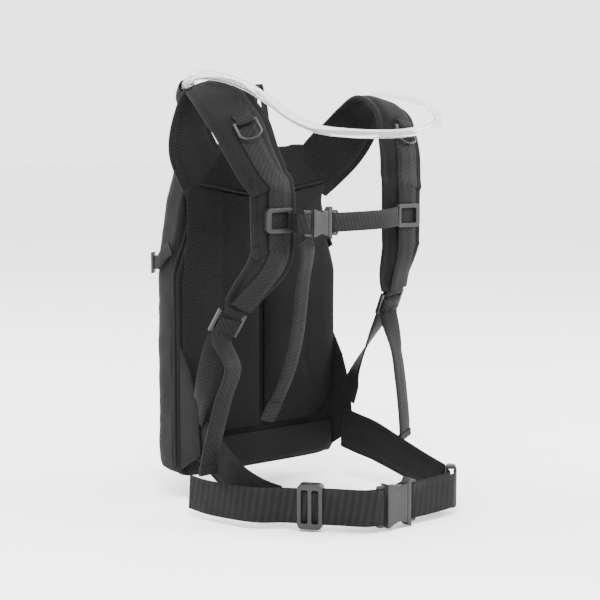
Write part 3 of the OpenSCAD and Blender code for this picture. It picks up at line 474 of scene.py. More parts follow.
# %% Clear tube and film
def clear_finish(name, colour, rough, through, ior=1.38):
    material, tree, shader = new_finish(
        name, Base_Color=(*colour, 1), Transmission_Weight=through, IOR=ior)
    haze = wire(tree, "TexNoise", {"Vector": position(tree), "Scale": 45.0, "Detail": 4.0})
    tree.links.new(fade(tree, haze.outputs["Fac"], 0.35, 0.75, rough, rough + 0.12),
                   shader.inputs["Roughness"])
    bumped(tree, shader, haze.outputs["Fac"], 0.05, 0.0004)
    return material


# %% Every finish the pack uses
bag_cloth = cloth_finish("bag_cloth", swept_axes)
flat_cloth = cloth_finish("flat_cloth", flat_axes)
strap_cloth = cloth_finish("strap_cloth", swept_axes, tone=0.0058)
binding_cloth = cloth_finish("binding_cloth", swept_axes, tone=0.0062, thread=0.0008)
back_mesh = mesh_finish("back_mesh", flat_axes)
lining_mesh = mesh_finish("lining_mesh", swept_axes)
rail_webbing = webbing_finish("rail_webbing", slant=0.75, edge=0.0098)
tail_webbing = webbing_finish("tail_webbing", rib=0.0060, slant=-0.9)
chest_webbing = webbing_finish("chest_webbing", rib=0.0050, slant=0.3)
belt_webbing = webbing_finish("belt_webbing", rib=0.0078, slant=-0.15, tone=0.0066)
thin_webbing = webbing_finish("thin_webbing", rib=0.0030, slant=0.0, tone=0.0056)
satin_plastic = plastic_finish("satin_plastic", 0.007)
zip_plastic = plastic_finish("zip_plastic", 0.009, 0.35)
blue_plastic = plastic_finish("blue_plastic", 0.1, 0.3, colour=[0.012, 0.05, 0.17])
neck_plastic = plastic_finish("neck_plastic", 0.1, 0.35, colour=[0.25, 0.42, 0.6])
silicone = plastic_finish("silicone", 0.1, 0.5, colour=[0.30, 0.42, 0.52])
tube_clear = clear_finish("tube_clear", (0.90, 0.92, 0.93), 0.05, 0.9)
bladder_film = clear_finish("bladder_film", (0.72, 0.84, 0.95), 0.2, 0.6)

# %% [markdown]
# ## The floor and the light
# The pack is shown on a plain pale floor that runs on into a pale background,
# with a big soft light above and a weaker one from each side.

# %% Floor and lights
bm = bmesh.new()
bmesh.ops.create_grid(bm, x_segments=2, y_segments=2, size=30)
floor_paint, tree, shader = new_finish("floor_paint", Roughness=0.9, Specular_IOR_Level=0.1)
tone = wire(tree, "TexNoise", {"Vector": position(tree), "Scale": 3.0, "Detail": 3.0})
tree.links.new(tint(tree, tone.outputs["Fac"], [0.92] * 3, [0.95] * 3), shader.inputs["Base Color"])
floor = new_piece("floor", bm, floor_paint)
floor.data.transform(Matrix.Translation((0, 0, cad_box[0].z - 0.001)))

world = bpy.context.scene.world or bpy.data.worlds.new("world")
bpy.context.scene.world = world
world.use_nodes = True
world.node_tree.nodes["Background"].inputs["Color"].default_value = (1, 1, 1, 1)
world.node_tree.nodes["Background"].inputs["Strength"].default_value = 3.0


def soft_light(name, place, aim, size, power):
    lamp = bpy.data.lights.new(name, "AREA")
    lamp.shape, lamp.size, lamp.energy = "DISK", size, power
    holder = bpy.data.objects.new(name, lamp)
    holder.location = place
    holder.rotation_euler = (Vector(aim) - Vector(place)).to_track_quat("-Z", "Y").to_euler()
    bpy.context.scene.collection.objects.link(holder)


soft_light("key_light", (-1.2, -1.4, 2.2), (0, 0, 0.2), 1.2, 120)
soft_light("side_light", (1.8, -1.0, 1.2), (0, 0, 0.2), 1.0, 60)
soft_light("rim_light", (-1.0, 1.6, 1.6), (0, 0, 0.3), 1.0, 60)

# %% [markdown]
# ## The drinking tube
# The tube is a fixed length of clear, springy hose. It lies over the left
# strap's crown, crosses in front to the right strap, turns behind it under the
# elastic keeper, and runs down behind the bag to the bite valve. It is a ring
# swept along that route, with its two end faces taken off and a wall given to it.

# %% The tube's route
TUBE, TUBE_WALL = 10, 1.6
tube_points = [
    (-123, -34, 444), (-125, -41, 446), (-124, -52, 448), (-118, -66, 447), (-107, -81, 443),
    (-92, -97, 434), (-75, -112, 419), (-56, -124, 403), (-30, -136, 391), (2, -147, 387),
    (36, -155, 386), (70, -159, 387), (102, -157, 391), (132, -147, 397), (158, -127, 404), (174, -106, 413),
    (178, -84, 422), (170, -62, 430), (156, -44, 434), (142, -26, 430), (136, -6, 416),
    (134, 16, 396), (130, 38, 372), (122, 58, 346), (113, 70, 318), (106, 76, 290),
    (102, 78, 262), (100, 78, 238)]


def round_section(diameter, sides=16):
    angles = (math.tau * k / sides for k in range(sides))
    return [(diameter / 2 * math.cos(a), diameter / 2 * math.sin(a)) for a in angles]


def tube_piece(name, route, diameter, wall, material, body, stands_for):
    bm = bmesh.new()
    stations = [band_frame([(*p[:3], 0, 0.3, 0.2, 1) for p in route], i)[:3] for i in range(len(route))]
    pull_section(bm, stations, [round_section(diameter)] * len(route))
    bmesh.ops.delete(bm, geom=[f for f in bm.faces if len(f.verts) > 4], context="FACES")
    bmesh.ops.recalc_face_normals(bm, faces=bm.faces)
    middles = [Vector(p[:3]) * MM for p in route[:12]]
    outside = 0
    for face in list(bm.faces)[:64]:
        centre = face.calc_center_median()
        outside += (centre - min(middles, key=lambda q: (q - centre).length)).dot(face.normal)
    if outside < 0:
        bmesh.ops.reverse_faces(bm, faces=bm.faces)
    bm.normal_update()
    bmesh.ops.solidify(bm, geom=list(bm.faces), thickness=wall * MM)
    piece = new_piece(name, bm, material, 60)
    return finish_piece(piece, body, stands_for)


tube_route = smooth_route(tube_points, 6)
drink_tube = tube_piece("clear_tube", tube_route, TUBE, TUBE_WALL, tube_clear, "root",
                        ["drink_tube"])

# %% [markdown]
# ## The shoulder straps
# A strap is foam wrapped in cloth. Its edge is bound with tape, which leaves a
# step and a stitched valley just inside the edge, and the foam swells between
# the seams. The outline across the strap has those features, and it changes
# along the way: thin over the shoulder, fuller under the webbing, pressed flat
# where the chest strap's slider grips, and tapered at the lower end.

# %% Strap routes
CHEST_X, CHEST_Z, FACE_Y = 92, 296, -136
left_strap_points = [
    (-74, 3.2, 336, 70, 0.8, 0, 0.6), (-93, -3, 356, 72, 0.8, 0.1, 0.6),
    (-110, -12, 381, 71, 0.9, 0.2, 0.4), (-112, -26, 412, 66, 0.95, 0.15, 0.25),
    (-108, -46, 437, 64, 1, -0.1, 0.3), (-112, -72, 426, 66, 1, -0.3, 0.2),
    (-113, -92, 409, 66, 1, -0.4, 0.1), (-110, -107, 392, 65, 1, -0.35, 0.1),
    (-105, -119, 366, 63, 1, -0.2, 0.05), (-98, -130, 342, 62, 1, -0.1, 0),
    (-CHEST_X, FACE_Y, CHEST_Z + 34, 60, 1, 0, 0), (-CHEST_X, FACE_Y, CHEST_Z + 26, 60, 1, 0, 0),
    (-CHEST_X, FACE_Y, CHEST_Z - 26, 58, 1, 0, 0), (-CHEST_X, FACE_Y, CHEST_Z - 34, 57, 1, 0, 0),
    (-97, -130, CHEST_Z - 52, 54, 1, -0.1, -0.1), (-108, -114, CHEST_Z - 76, 42, 1, -0.2, -0.2),
    (-115, -104, CHEST_Z - 92, 34, 1, -0.25, -0.25)]
right_strap_points = [
    (74, 3.2, 336, 70, 0.8, 0, -0.6), (93, -3, 356, 72, 0.8, -0.1, -0.6),
    (112, -14, 379, 70, 0.9, -0.25, -0.4),
    (120, -33, 405, 62, 0.9, -0.25, -0.35), (117, -57, 421, 62, 1, 0, -0.25), (114, -80, 421, 62, 1, 0, -0.2),
    (112, -100, 408, 60, 1, 0.05, -0.1), (108, -112, 388, 60, 1, 0.05, 0),
    (102, -123, 366, 60, 1, 0, 0), (96, -131, 342, 59, 1, 0, 0),
    (CHEST_X, FACE_Y, CHEST_Z + 34, 58, 1, 0, 0), (CHEST_X, FACE_Y, CHEST_Z + 26, 58, 1, 0, 0),
    (CHEST_X, FACE_Y, CHEST_Z - 26, 57, 1, 0, 0), (CHEST_X, FACE_Y, CHEST_Z - 34, 56, 1, 0, 0),
    (94, -130, CHEST_Z - 50, 54, 1, 0, 0.1), (101, -117, CHEST_Z - 70, 44, 1, 0, 0.1),
    (107, -108, CHEST_Z - 84, 34, 1, 0, 0.1)]
STRAP_STEPS, STRAP_T, WEB_T, SHOULDER_WEB = 8, 12, 1.6, 25
left_strap = smooth_route(left_strap_points, STRAP_STEPS)
right_strap = smooth_route(right_strap_points, STRAP_STEPS)
BINDING = 7


def ease(value, low, high):
    f = max(0.0, min(1.0, (value - low) / (high - low)))
    return f * f * (3 - 2 * f)


def strap_section(route, i, seed):
    w = route[i][3] / 2
    share = i / STRAP_STEPS
    gripped = ease(abs(route[i][2] - CHEST_Z), 24, 38) if share > 9 else 1
    rise = 6.2 + 2.0 * ease(share, 5.8, 6.8) * gripped
    rise -= 2.6 * ease(share, 15, 16)
    under = 6.0 - 2.0 * ease(share, 15, 16) - 5.0 * (1 - ease(share, 0, 1.6))
    crease = 0.5 * noise.noise(Vector((seed, route[i][2] * 0.05, route[i][1] * 0.05)))
    valley, edge = 2.4, 2.6
    inner = w - BINDING
    outer_half = [(w, 0), (w - 0.7, edge * 0.75), (w - 2, edge), (inner + 1.4, edge + 0.3),
                  (inner, valley), (inner - 1.2, valley), (inner - 4, rise * 0.72 + crease),
                  (inner - 8, rise * 0.94), (w * 0.35, rise), (0.0, rise + 0.1)]
    top = outer_half + [(-a, b) for a, b in reversed(outer_half[:-1])]
    bottom = [(-a, -b * under / max(rise, 1)) for a, b in outer_half[1:]]
    bottom += [(a, b) for a, b in reversed([(-a, b) for a, b in bottom[:-1]])]
    return top + bottom


def strap_piece(name, route, seed, stands_for):
    bm = bmesh.new()
    stations = [band_frame(route, i)[:3] for i in range(len(route))]
    pull_section(bm, stations, [strap_section(route, i, seed) for i in range(len(route))])
    bmesh.ops.recalc_face_normals(bm, faces=bm.faces)
    piece = new_piece(name, bm, strap_cloth, 70)
    piece.data.materials.append(lining_mesh)
    depth = piece.data.attributes["around"].data
    for face in piece.data.polygons:
        inside = sum(depth[v].value for v in face.vertices) / len(face.vertices) < -0.0012
        rim = max(abs(piece.data.attributes["side"].data[v].value) for v in face.vertices)
        face.material_index = int(inside and rim < route[0][3] * MM)
    return finish_padding(piece, stands_for)


strap_piece("padded_strap_left", left_strap, 3, ["strap_left"])
strap_piece("padded_strap_right", right_strap, 9, ["strap_right"])

# %% [markdown]
# ## Webbing along the straps
# A 25 mm webbing is sewn down each strap from the D-ring to the lower lock. The
# chest strap's sliders ride on it, so it stands a little off the padding.

# %% Rails of webbing
RAIL_OFF = STRAP_T / 2 + 2.6 + WEB_T / 2


def rail_route(route):
    chosen = range(int(6.75 * STRAP_STEPS), 16 * STRAP_STEPS - 1)
    return [(*route[i][:3], SHOULDER_WEB, *route[i][4:]) for i in chosen]


for side, route in (("left", left_strap), ("right", right_strap)):
    webbing_piece(f"sewn_rail_{side}", [rail_route(route)], WEB_T, rail_webbing,
                  stands_for=[f"rail_{side}"], lift=lambda i, r: RAIL_OFF)

# %% [markdown]
# ## Webbing round bars
# Webbing that is threaded round a buckle's bar runs out along one side of its
# line, half round the bar, and back along the other side. This helper turns a
# single line into that doubled route.


# %% A doubled route
def round_bar(path, radius, back=0):
    frames = [band_frame(path, i) for i in range(len(path))]
    width = path[-1][3]
    out = [(*(f[0] + f[2] * radius), p[3], *f[1]) for f, p in zip(frames, path)]
    place, across, outward, along = frames[-1]
    turn = [(*(place + (outward * math.cos(a) + along * math.sin(a)) * radius), width, *across)
            for a in (math.pi * k / 8 for k in range(1, 8))]
    home = [(*(f[0] - f[2] * radius), p[3], *f[1]) for f, p in list(zip(frames, path))[back:]]
    return out + turn + home[::-1]


def flat(points, width, hint):
    return [(*p, width, *hint) for p in points]


# %% [markdown]
# ## The shoulder webbing and its locks
# From a cloth gusset at the hip the webbing runs up to the ladder lock, over its
# second bar, and hangs down again as a free tail with its end folded and sewn.
# The lock leans from the strap's end towards the gusset.

# %% Shoulder webbing
GUSSET_X, TIP_Y, TIP_Z = 114, -28, 84
LOCK_L, LOCK_LOOP = 27, 3.2


def lock_frame(route):
    place, across, outward, along = band_frame(route, len(route) - 1)
    place = place + along * 9
    tip = Vector((math.copysign(GUSSET_X, place.x), TIP_Y, TIP_Z))
    down = along.lerp((tip - place).normalized(), 0.6).normalized()
    across = (across - across.dot(down) * down).normalized()
    return place, across, down.cross(across), down


def lock_point(route, down, out):
    place, across, outward, along = lock_frame(route)
    return (*(place + along * down + outward * out), SHOULDER_WEB, *across)


def shoulder_webbing(name, s, route, tail_points, hang, stands_for):
    anchor = smooth_route([
        (s * (GUSSET_X + 1.4), TIP_Y + 4, TIP_Z - 16, SHOULDER_WEB, 0, s, 0.45 * s),
        (s * (GUSSET_X + 1.6), TIP_Y - 3, TIP_Z + 4, SHOULDER_WEB, 0, s, 0.45 * s),
        (s * (GUSSET_X + 1.2), TIP_Y - 16, TIP_Z + 28, SHOULDER_WEB, 0.5, 0.8 * s, 0.3 * s),
        lock_point(route, LOCK_L + 12, 0), lock_point(route, LOCK_L, 0), lock_point(route, 9.5, 0)], 8)
    looped = round_bar(anchor, LOCK_LOOP, len(anchor) - 1)
    tail = smooth_route(
        [lock_point(route, 14, LOCK_LOOP), lock_point(route, 21, LOCK_LOOP + 0.3),
         lock_point(route, LOCK_L + 5, LOCK_LOOP + 4)] + flat(tail_points, SHOULDER_WEB, hang), 8)
    piece = webbing_piece(name, [looped + tail], WEB_T, tail_webbing, None, stands_for)
    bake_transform(piece)
    return tail


left_tail_end = shoulder_webbing(
    "lower_webbing_left", -1, left_strap,
    [(-124, -108, 140), (-129, -98, 105), (-133, -89, 70), (-135, -82, 45), (-136, -78, 22)],
    (0.98, 0.15, -0.1), ["shoulder_webbing_left"])
right_tail_end = shoulder_webbing(
    "lower_webbing_right", 1, right_strap,
    [(106, -115, 140), (114, -114, 105), (121, -112, 70), (125, -110, 50), (128, -108, 32)],
    (0.94, 0.33, 0), ["shoulder_webbing_right"])


# %% Folded ends of the free tails
def folded_end(name, tail, width, material, body="root"):
    """The last few millimetres of a tail are rolled over twice and sewn."""
    route = [(*(Vector(p[:3])), width, *p[4:7]) for p in tail[-5:]]
    return webbing_piece(name, [route], WEB_T * 2.6, material, body)


folded_end("tail_hem_left", left_tail_end, SHOULDER_WEB + 0.4, tail_webbing)
folded_end("tail_hem_right", right_tail_end, SHOULDER_WEB + 0.4, tail_webbing)

# %% [markdown]
# ## The chest strap
# The left webbing is sewn to its slider, goes round the socket's bar and ends
# in a long tail. The right one is doubled, from its slider to the plug's bar
# and back.

# %% Chest webbing
CHEST_WEB = 20
BUCKLE_BAR = 3
WEB_LOOP = (BUCKLE_BAR + 1) / 2 + WEB_T / 2 + 0.3
SLIDER_BACK, SLOT_T = 1.4, 2.6
slider_y = FACE_Y - RAIL_OFF + SLOT_T / 2 + SLIDER_BACK
slider_face = slider_y - SLIDER_BACK - SLOT_T - 2.2
chest_bar = Vector((-70, FACE_Y - 30, CHEST_Z - 3))


def buckle_span(width):
    return 5.6 + (9 + width * 0.5) + 0.6 + 10.2


UPRIGHT = (0, 0, 1)
left_chest = smooth_route(flat([
    (-CHEST_X + 15.7, slider_face - 0.6, CHEST_Z), (-CHEST_X + 15.5, slider_face - 6, CHEST_Z - 1),
    chest_bar + Vector((-8.5, 2.5, 0)), chest_bar + Vector((-4.5, 0, 0)), chest_bar],
    CHEST_WEB, UPRIGHT), 6)
chest_tail = smooth_route([
    (-68, -160, CHEST_Z - 19, CHEST_WEB, 1, 0, 0), (-62, -156, CHEST_Z - 30, CHEST_WEB, 1, 0.1, 0),
    (-54, -146, CHEST_Z - 44, CHEST_WEB, 1, 0.2, 0), (-49, -134, CHEST_Z - 68, CHEST_WEB, 1, 0.1, 0.1),
    (-46, -120, CHEST_Z - 128, CHEST_WEB, 1, 0.1, 0), (-52, -108, CHEST_Z - 176, CHEST_WEB, 1, 0.1, 0),
    (-66, -92, CHEST_Z - 222, CHEST_WEB, 1, 0.1, 0)], 8)
webbing_piece("chest_web_left", [round_bar(left_chest, WEB_LOOP, len(left_chest) - 4), chest_tail],
              WEB_T, chest_webbing, "chest_strap", ["chest_webbing_left"])
folded_end("chest_tail_hem", chest_tail, CHEST_WEB + 0.4, chest_webbing, "chest_strap")
plug_bar = chest_bar + Vector((buckle_span(CHEST_WEB), 0, 0))
right_chest = smooth_route(flat([
    (CHEST_X - 16, slider_face - 3, CHEST_Z), (CHEST_X - 22, slider_face - 6.5, CHEST_Z),
    (30, FACE_Y - 30, CHEST_Z - 2), plug_bar], CHEST_WEB, UPRIGHT), 8)
chest_right = webbing_piece("chest_web_right", [round_bar(right_chest, WEB_LOOP, 10)], WEB_T,
                            chest_webbing, "chest_strap", ["chest_webbing_right"])
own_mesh(chest_right)

# %% [markdown]
# ## The waist belt
# Two cloth wings come round from the hips. The left one carries 38 mm webbing
# through a tri-glide to the buckle's socket, with the slack doubled back behind
# it. The right one ends in a slider, and a short webbing runs on to the plug.

# %% Belt webbing
BELT_WEB, BELT_Z = 38, -4
waist_bar = Vector((-18, -224, BELT_Z))
glide_at, glide_dir = Vector((-72, -174, BELT_Z)), Vector((-0.62, 0.78, 0)).normalized()
belt_line = smooth_route(flat([
    (-136, -48, BELT_Z + 2), (-131, -80, BELT_Z), glide_at + glide_dir * 62 + Vector((-4, -4, 0)),
    glide_at + glide_dir * 30, glide_at, glide_at - glide_dir * 30,
    waist_bar + Vector((-20, 7, 0)), waist_bar + Vector((-8, 0.3, 0)), waist_bar], BELT_WEB, UPRIGHT), 8)
webbing_piece("belt_web_left", [round_bar(belt_line, WEB_LOOP, 30)], WEB_T, belt_webbing,
              stands_for=["belt_webbing_left"])
waist_plug = waist_bar + Vector((buckle_span(BELT_WEB), 0, 0))
slider_at, slider_dir = Vector((97, -214, BELT_Z + 3)), Vector((-0.65, -0.76, 0)).normalized()
belt_short = smooth_route(flat([
    slider_at + slider_dir, slider_at + slider_dir * 14 + Vector((-2, 0, -1)),
    waist_plug + Vector((22, 0, 0)), waist_plug + Vector((8, 0, 0)), waist_plug], BELT_WEB, UPRIGHT), 8)
belt_right = webbing_piece("belt_web_right", [round_bar(belt_short, WEB_LOOP, 0)], WEB_T,
                           belt_webbing, stands_for=["belt_webbing_right"])
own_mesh(belt_right)

# %% [markdown]
# The wings are two layers of cloth round thin foam: crowned in the middle, with
# a bound edge and one row of stitches inside it.

# %% Belt wings
wing_cloth = cloth_finish("wing_cloth", swept_axes, tone=0.0046, rows=((0.0150, 0.003),))
left_wing = smooth_route([
    (-108, -20, 50, 50, 0, 0.35, 1), (-108.4, -42, 41, 48, 0, 0.3, 1),
    (-108, -62, 29, 46, 0, 0.25, 1), (-106, -90, 12, 42, 0, 0.15, 1),
    (-99, -121, 1, 39, 0, 0.1, 1), (-89, -143.5, -4, 38, 0, 0, 1)], 8)
right_wing = smooth_route([
    (108, -20, 34, 50, 0, 0, 1), (108.4, -44, 30, 49, 0, 0.1, 1), (111, -72, 25, 48, 0, 0.1, 1),
    (111, -110, 16, 45, 0, 0.1, 1), (107, -160, 6, 42, 0, 0.1, 1), (101, -200, 1, 39, 0, 0, 1)], 8)


def wing_section(width, i):
    w, h = width / 2, 2.4 + 0.4 * noise.noise(Vector((i * 0.3, 5, 0)))
    half = [(w, 0), (w - 0.5, 1.1), (w - 4.5, 1.3), (w - 5, 0.9),
            (w - 8, h * 0.85), (w * 0.4, h), (0, h)]
    top = half + [(-a, b) for a, b in reversed(half[:-1])]
    return top + [(a, -b) for a, b in reversed(top[1:-1])]


def wing_piece(name, route, stands_for):
    bm = bmesh.new()
    pull_section(bm, [band_frame(route, i)[:3] for i in range(len(route))],
                 [wing_section(p[3], i) for i, p in enumerate(route)])
    bmesh.ops.recalc_face_normals(bm, faces=bm.faces)
    piece = new_piece(name, bm, wing_cloth, 70)
    return finish_padding(piece, stands_for)


wing_piece("hip_wing_left", left_wing, ["belt_wing_left"])
wing_piece("hip_wing_right", right_wing, ["belt_wing_right"])

# %% [markdown]
# ## The bag
# The bag is a sewn shell that stands up by its lining and sags a little between
# its seams. Its outline at each height is a box with soft outer corners. The
# outlines are swept upwards, and then the skin is pushed in and out by a slow
# noise, so that the cloth has the shallow hollows of a half-full bag.

# %% A soft box outline
PAD_T, BAG_D, BAG_H = 12, 62, 375


def soft_box(half, back, front, corner):
    across, deep = half - corner, front - corner
    arc = [(corner * math.cos(math.pi * k / 10), corner * math.sin(math.pi * k / 10)) for k in range(6)]
    points = [(-half + 2 * half * k / 10, back) for k in range(11)]
    points += [(half, back + (deep - back) * k / 4) for k in range(1, 4)]
    points += [(half - corner + a, front - corner + b) for a, b in arc]
    points += [(across - 2 * across * k / 8, front) for k in range(1, 8)]
    points += [(-half + corner - b, front - corner + a) for a, b in arc]
    points += [(-half, back + (deep - back) * k / 4) for k in (3, 2, 1)]
    run, section = 0, []
    for k, point in enumerate(points):
        run += (Vector(point) - Vector(points[k - 1])).length if k else 0
        section.append((*point, run))
    return section


def lofted_bag(name, levels, back, corner, material, stands_for, calm):
    bm = bmesh.new()
    rows = smooth_route(levels, 6)
    stations = [(Vector((0, 0, row[0])), Vector((1, 0, 0)), Vector((0, 1, 0))) for row in rows]
    sections = [soft_box(row[1], back, row[2], max(3, min(corner, row[2] - back - 5)))
                for row in rows]
    pull_section(bm, stations, sections)
    bmesh.ops.recalc_face_normals(bm, faces=bm.faces)
    bm.normal_update()
    for vert in bm.verts:
        x, y, z = vert.co / MM
        if y < back + 1:
            continue
        dent = noise.noise(Vector((x, y * 1.4, z * 0.7)) * 0.028) * 2.4
        dent += noise.noise(Vector((x * 0.5, y, z * 2.2)) * 0.05) * 0.9
        vert.co += vert.normal * dent * calm(x, y, z) * MM
    piece = new_piece(name, bm, material, 80)
    return finish_padding(piece, stands_for)


# %% The bag's shell
MAIN_ZIP_Z, MAIN_ZIP_W = BAG_H - 52, 130
SIDE_Z = 244


def bag_calm(x, y, z):
    near_zip = 1 - ease(abs(z - MAIN_ZIP_Z), 6, 22) if y > BAG_D - 6 else 0
    under_strap = 0.3 if abs(z - SIDE_Z) < 9 else 1
    return (1 - near_zip) * ease(z, 0, 20) * (1 - ease(z, 345, 365) * 0.7) * under_strap


lofted_bag("bag_body", [
    (0, 102, 46), (4, 111, 57), (14, 115, 61), (60, 116, 62), (120, 116, 62), (180, 115.5, 62),
    (229, 114, 61.5), (262, 112, 61.5), (300, 105, 61.5), (340, 94, 61.5), (358, 89, 58.5),
    (368, 82, 51), (372, 74, 42)],
    PAD_T, 24, bag_cloth, ["bag_shell"], bag_calm)

# %% The front pocket
POCKET_LOW, POCKET_TOP, POCKET_FACE, POCKET_ZIP_W = 10, 168, 80, 120
POCKET_ZIP_Z = POCKET_TOP - 24


def pocket_calm(x, y, z):
    near_zip = 1 - ease(abs(z - POCKET_ZIP_Z), 5, 16) if y > POCKET_FACE - 5 else 0
    return 0.8 * (1 - near_zip) * ease(z, POCKET_LOW, POCKET_LOW + 14)


lofted_bag("pocket_body", [
    (POCKET_LOW, 84, 69), (POCKET_LOW + 4, 91, 76), (POCKET_LOW + 14, 94, 80), (60, 94, 81),
    (110, 94, 80.5), (POCKET_TOP - 26, 94, 79.8), (POCKET_TOP - 10, 93, 79),
    (POCKET_TOP - 3, 90, 74), (POCKET_TOP, 85, 67)],
    BAG_D + 0.2, 13, bag_cloth, ["front_pocket"], pocket_calm)

# %% [markdown]
# ## Piping and seams
# Where the back panel meets the bag the layers are bound with a narrow tape,
# rolled over a cord. It is a small round section swept down one side, round the
# bottom corners and up the other side. Thinner cords of the same kind cover the
# seams where the wings are joined to the panel.


# %% Piping
def cord_trim(name, points, diameter, material, steps=6, body="root"):
    route = [(*p[:3], 0, 0.3, 0.2, 1) for p in smooth_route(points, steps)]
    bm = bmesh.new()
    pull_section(bm, [band_frame(route, i)[:3] for i in range(len(route))],
                 [round_section(diameter, 10)] * len(route))
    bmesh.ops.recalc_face_normals(bm, faces=bm.faces)
    piece = new_piece(name, bm, material, 60)
    return finish_piece(piece, body, ())


cord_trim("panel_piping", [
    (-92, 12, 322), (-93, 12, 300), (-100, 12, 274), (-114.5, 12, 236), (-115.5, 12, 200),
    (-115.5, 12, 100), (-115.5, 12, 30), (-113, 12, 9), (-104, 12, 2), (-80, 12, 0), (0, 12, 0),
    (80, 12, 0), (104, 12, 2), (113, 12, 9), (115.5, 12, 30), (115.5, 12, 100), (115.5, 12, 200),
    (114.5, 12, 236), (100, 12, 274), (93, 12, 300), (92, 12, 322)], 4.4, binding_cloth)

# %% [markdown]
# ## Padding against the back
# Two mesh-covered foam pads lie beside each other on a foam board, with a plain
# lumbar panel below them and a mesh yoke above, between the straps. Each starts
# as a flat outline that is extruded, remeshed to an even skin and inflated by a
# cloth simulation while its back is held, so that it crowns in the middle and
# pulls in at its edges. Its channels are pressed in afterwards.


# %% A flat slab from its outline
VOXEL = 0.004


def outline_slab(bm, outline, low, high, place):
    """outline is a few corners; place turns (u, v, depth) into a point in millimetres."""
    face = bm.faces.new([bm.verts.new(Vector(place(u, v, low)) * MM) for u, v in outline])
    made = bmesh.ops.extrude_face_region(bm, geom=[face])["geom"]
    shift = (Vector(place(0, 0, high)) - Vector(place(0, 0, low))) * MM
    bmesh.ops.translate(bm, verts=[g for g in made if isinstance(g, bmesh.types.BMVert)], vec=shift)
    bmesh.ops.recalc_face_normals(bm, faces=bm.faces)


def soft_edges(bm, edges, width, segments=3):
    bmesh.ops.bevel(bm, geom=edges, offset=width * MM, offset_type="OFFSET", segments=segments,
                    profile=0.5, affect="EDGES", clamp_overlap=True, material=-1)


def facing_back(u, v, depth):
    return (u, depth, v)


def applied(piece):
    """The piece's mesh with its modifiers applied."""
    view = bpy.context.evaluated_depsgraph_get()
    mesh = bpy.data.meshes.new_from_object(piece.evaluated_get(view))
    materials = list(piece.data.materials)
    piece.modifiers.clear()
    piece.data = mesh
    if not mesh.materials:
        for material in materials:
            mesh.materials.append(material)
    return piece


def relaxed(piece, rounds, factor=0.5):
    bm = bmesh.new()
    bm.from_mesh(piece.data)
    for _ in range(rounds):
        bmesh.ops.smooth_vert(bm, verts=bm.verts, factor=factor,
                              use_axis_x=True, use_axis_y=True, use_axis_z=True)
    bm.to_mesh(piece.data)
    bm.free()


def inflated(piece, held, pressure=4.0, most=0.004, frames=20):
    """Cloth pressure swells the piece away from its held corners, by no more than most."""
    before = [v.co.copy() for v in piece.data.vertices]
    group = piece.vertex_groups.new(name="held")
    group.add([v.index for v in piece.data.vertices if held(v.co / MM)], 1.0, "REPLACE")
    cloth = piece.modifiers.new("swell", "CLOTH")
    settings = cloth.settings
    settings.quality, settings.mass = 6, 0.15
    settings.use_pressure, settings.uniform_pressure_force = True, pressure
    settings.effector_weights.gravity = 0
    settings.tension_stiffness = settings.compression_stiffness = 20
    settings.bending_stiffness = 2
    settings.vertex_group_mass = "held"
    scene = bpy.context.scene
    for step in range(1, frames + 1):
        scene.frame_set(step)
    view = bpy.context.evaluated_depsgraph_get()
    after = [v.co.copy() for v in piece.evaluated_get(view).data.vertices]
    scene.frame_set(1)
    piece.modifiers.clear()
    piece.vertex_groups.clear()
    for vert, start, end in zip(piece.data.vertices, before, after):
        move = end - start
        if move.length > most:
            move *= most / move.length
        vert.co = start + move


def back_pad(name, outline, low, high, material, stands_for, creases=()):
    bm = bmesh.new()
    outline_slab(bm, outline, low, high, facing_back)
    piece = new_piece(name, bm, material)
    skin = piece.modifiers.new("even skin", "REMESH")
    skin.mode, skin.voxel_size = "VOXEL", VOXEL
    applied(piece)
    relaxed(piece, 4)
    inflated(piece, lambda p: p.y > high - 1.5)
    for vert in piece.data.vertices:
        x, y, z = vert.co / MM
        if y > (low + high) / 2:
            continue
        dent = noise.noise(Vector((x, z, 4)) * 0.03) * 0.5
        for start, end, width, deep in creases:
            a, b, p = Vector(start), Vector(end), Vector((x, z))
            t = max(0, min(1, (p - a).dot(b - a) / (b - a).length_squared))
            dent += deep * math.exp(-((p - a.lerp(b, t)).length / width) ** 2)
        vert.co.y += dent * MM
    relaxed(piece, 1, 0.3)
    piece.data.shade_smooth()
    return finish_padding(piece, stands_for)


# %% The two mesh pads, the lumbar panel and the yoke
lower_pad = [(-2.5, 45), (-58, 45), (-82, 50), (-98, 62), (-108, 82), (-112, 110), (-112, 228)]
pad_top = [(-60, 324), (-30, 319), (-2.5, 316)]
left_pad = lower_pad + [(-105, 288), (-106, 315), (-111, 332), (-88, 329)] + pad_top
right_pad = lower_pad + [(-93, 288), (-92, 314), (-104, 332), (-84, 329)] + pad_top
pad_creases = [((-60, 300), (-60, 120), 4.0, 1.6), ((-60, 120), (-84, 60), 4.0, 1.6),
               ((-2, 190), (-2, 45), 5, 1.2)]


def mirrored(points):
    return [(-x, z) for x, z in reversed(points)]


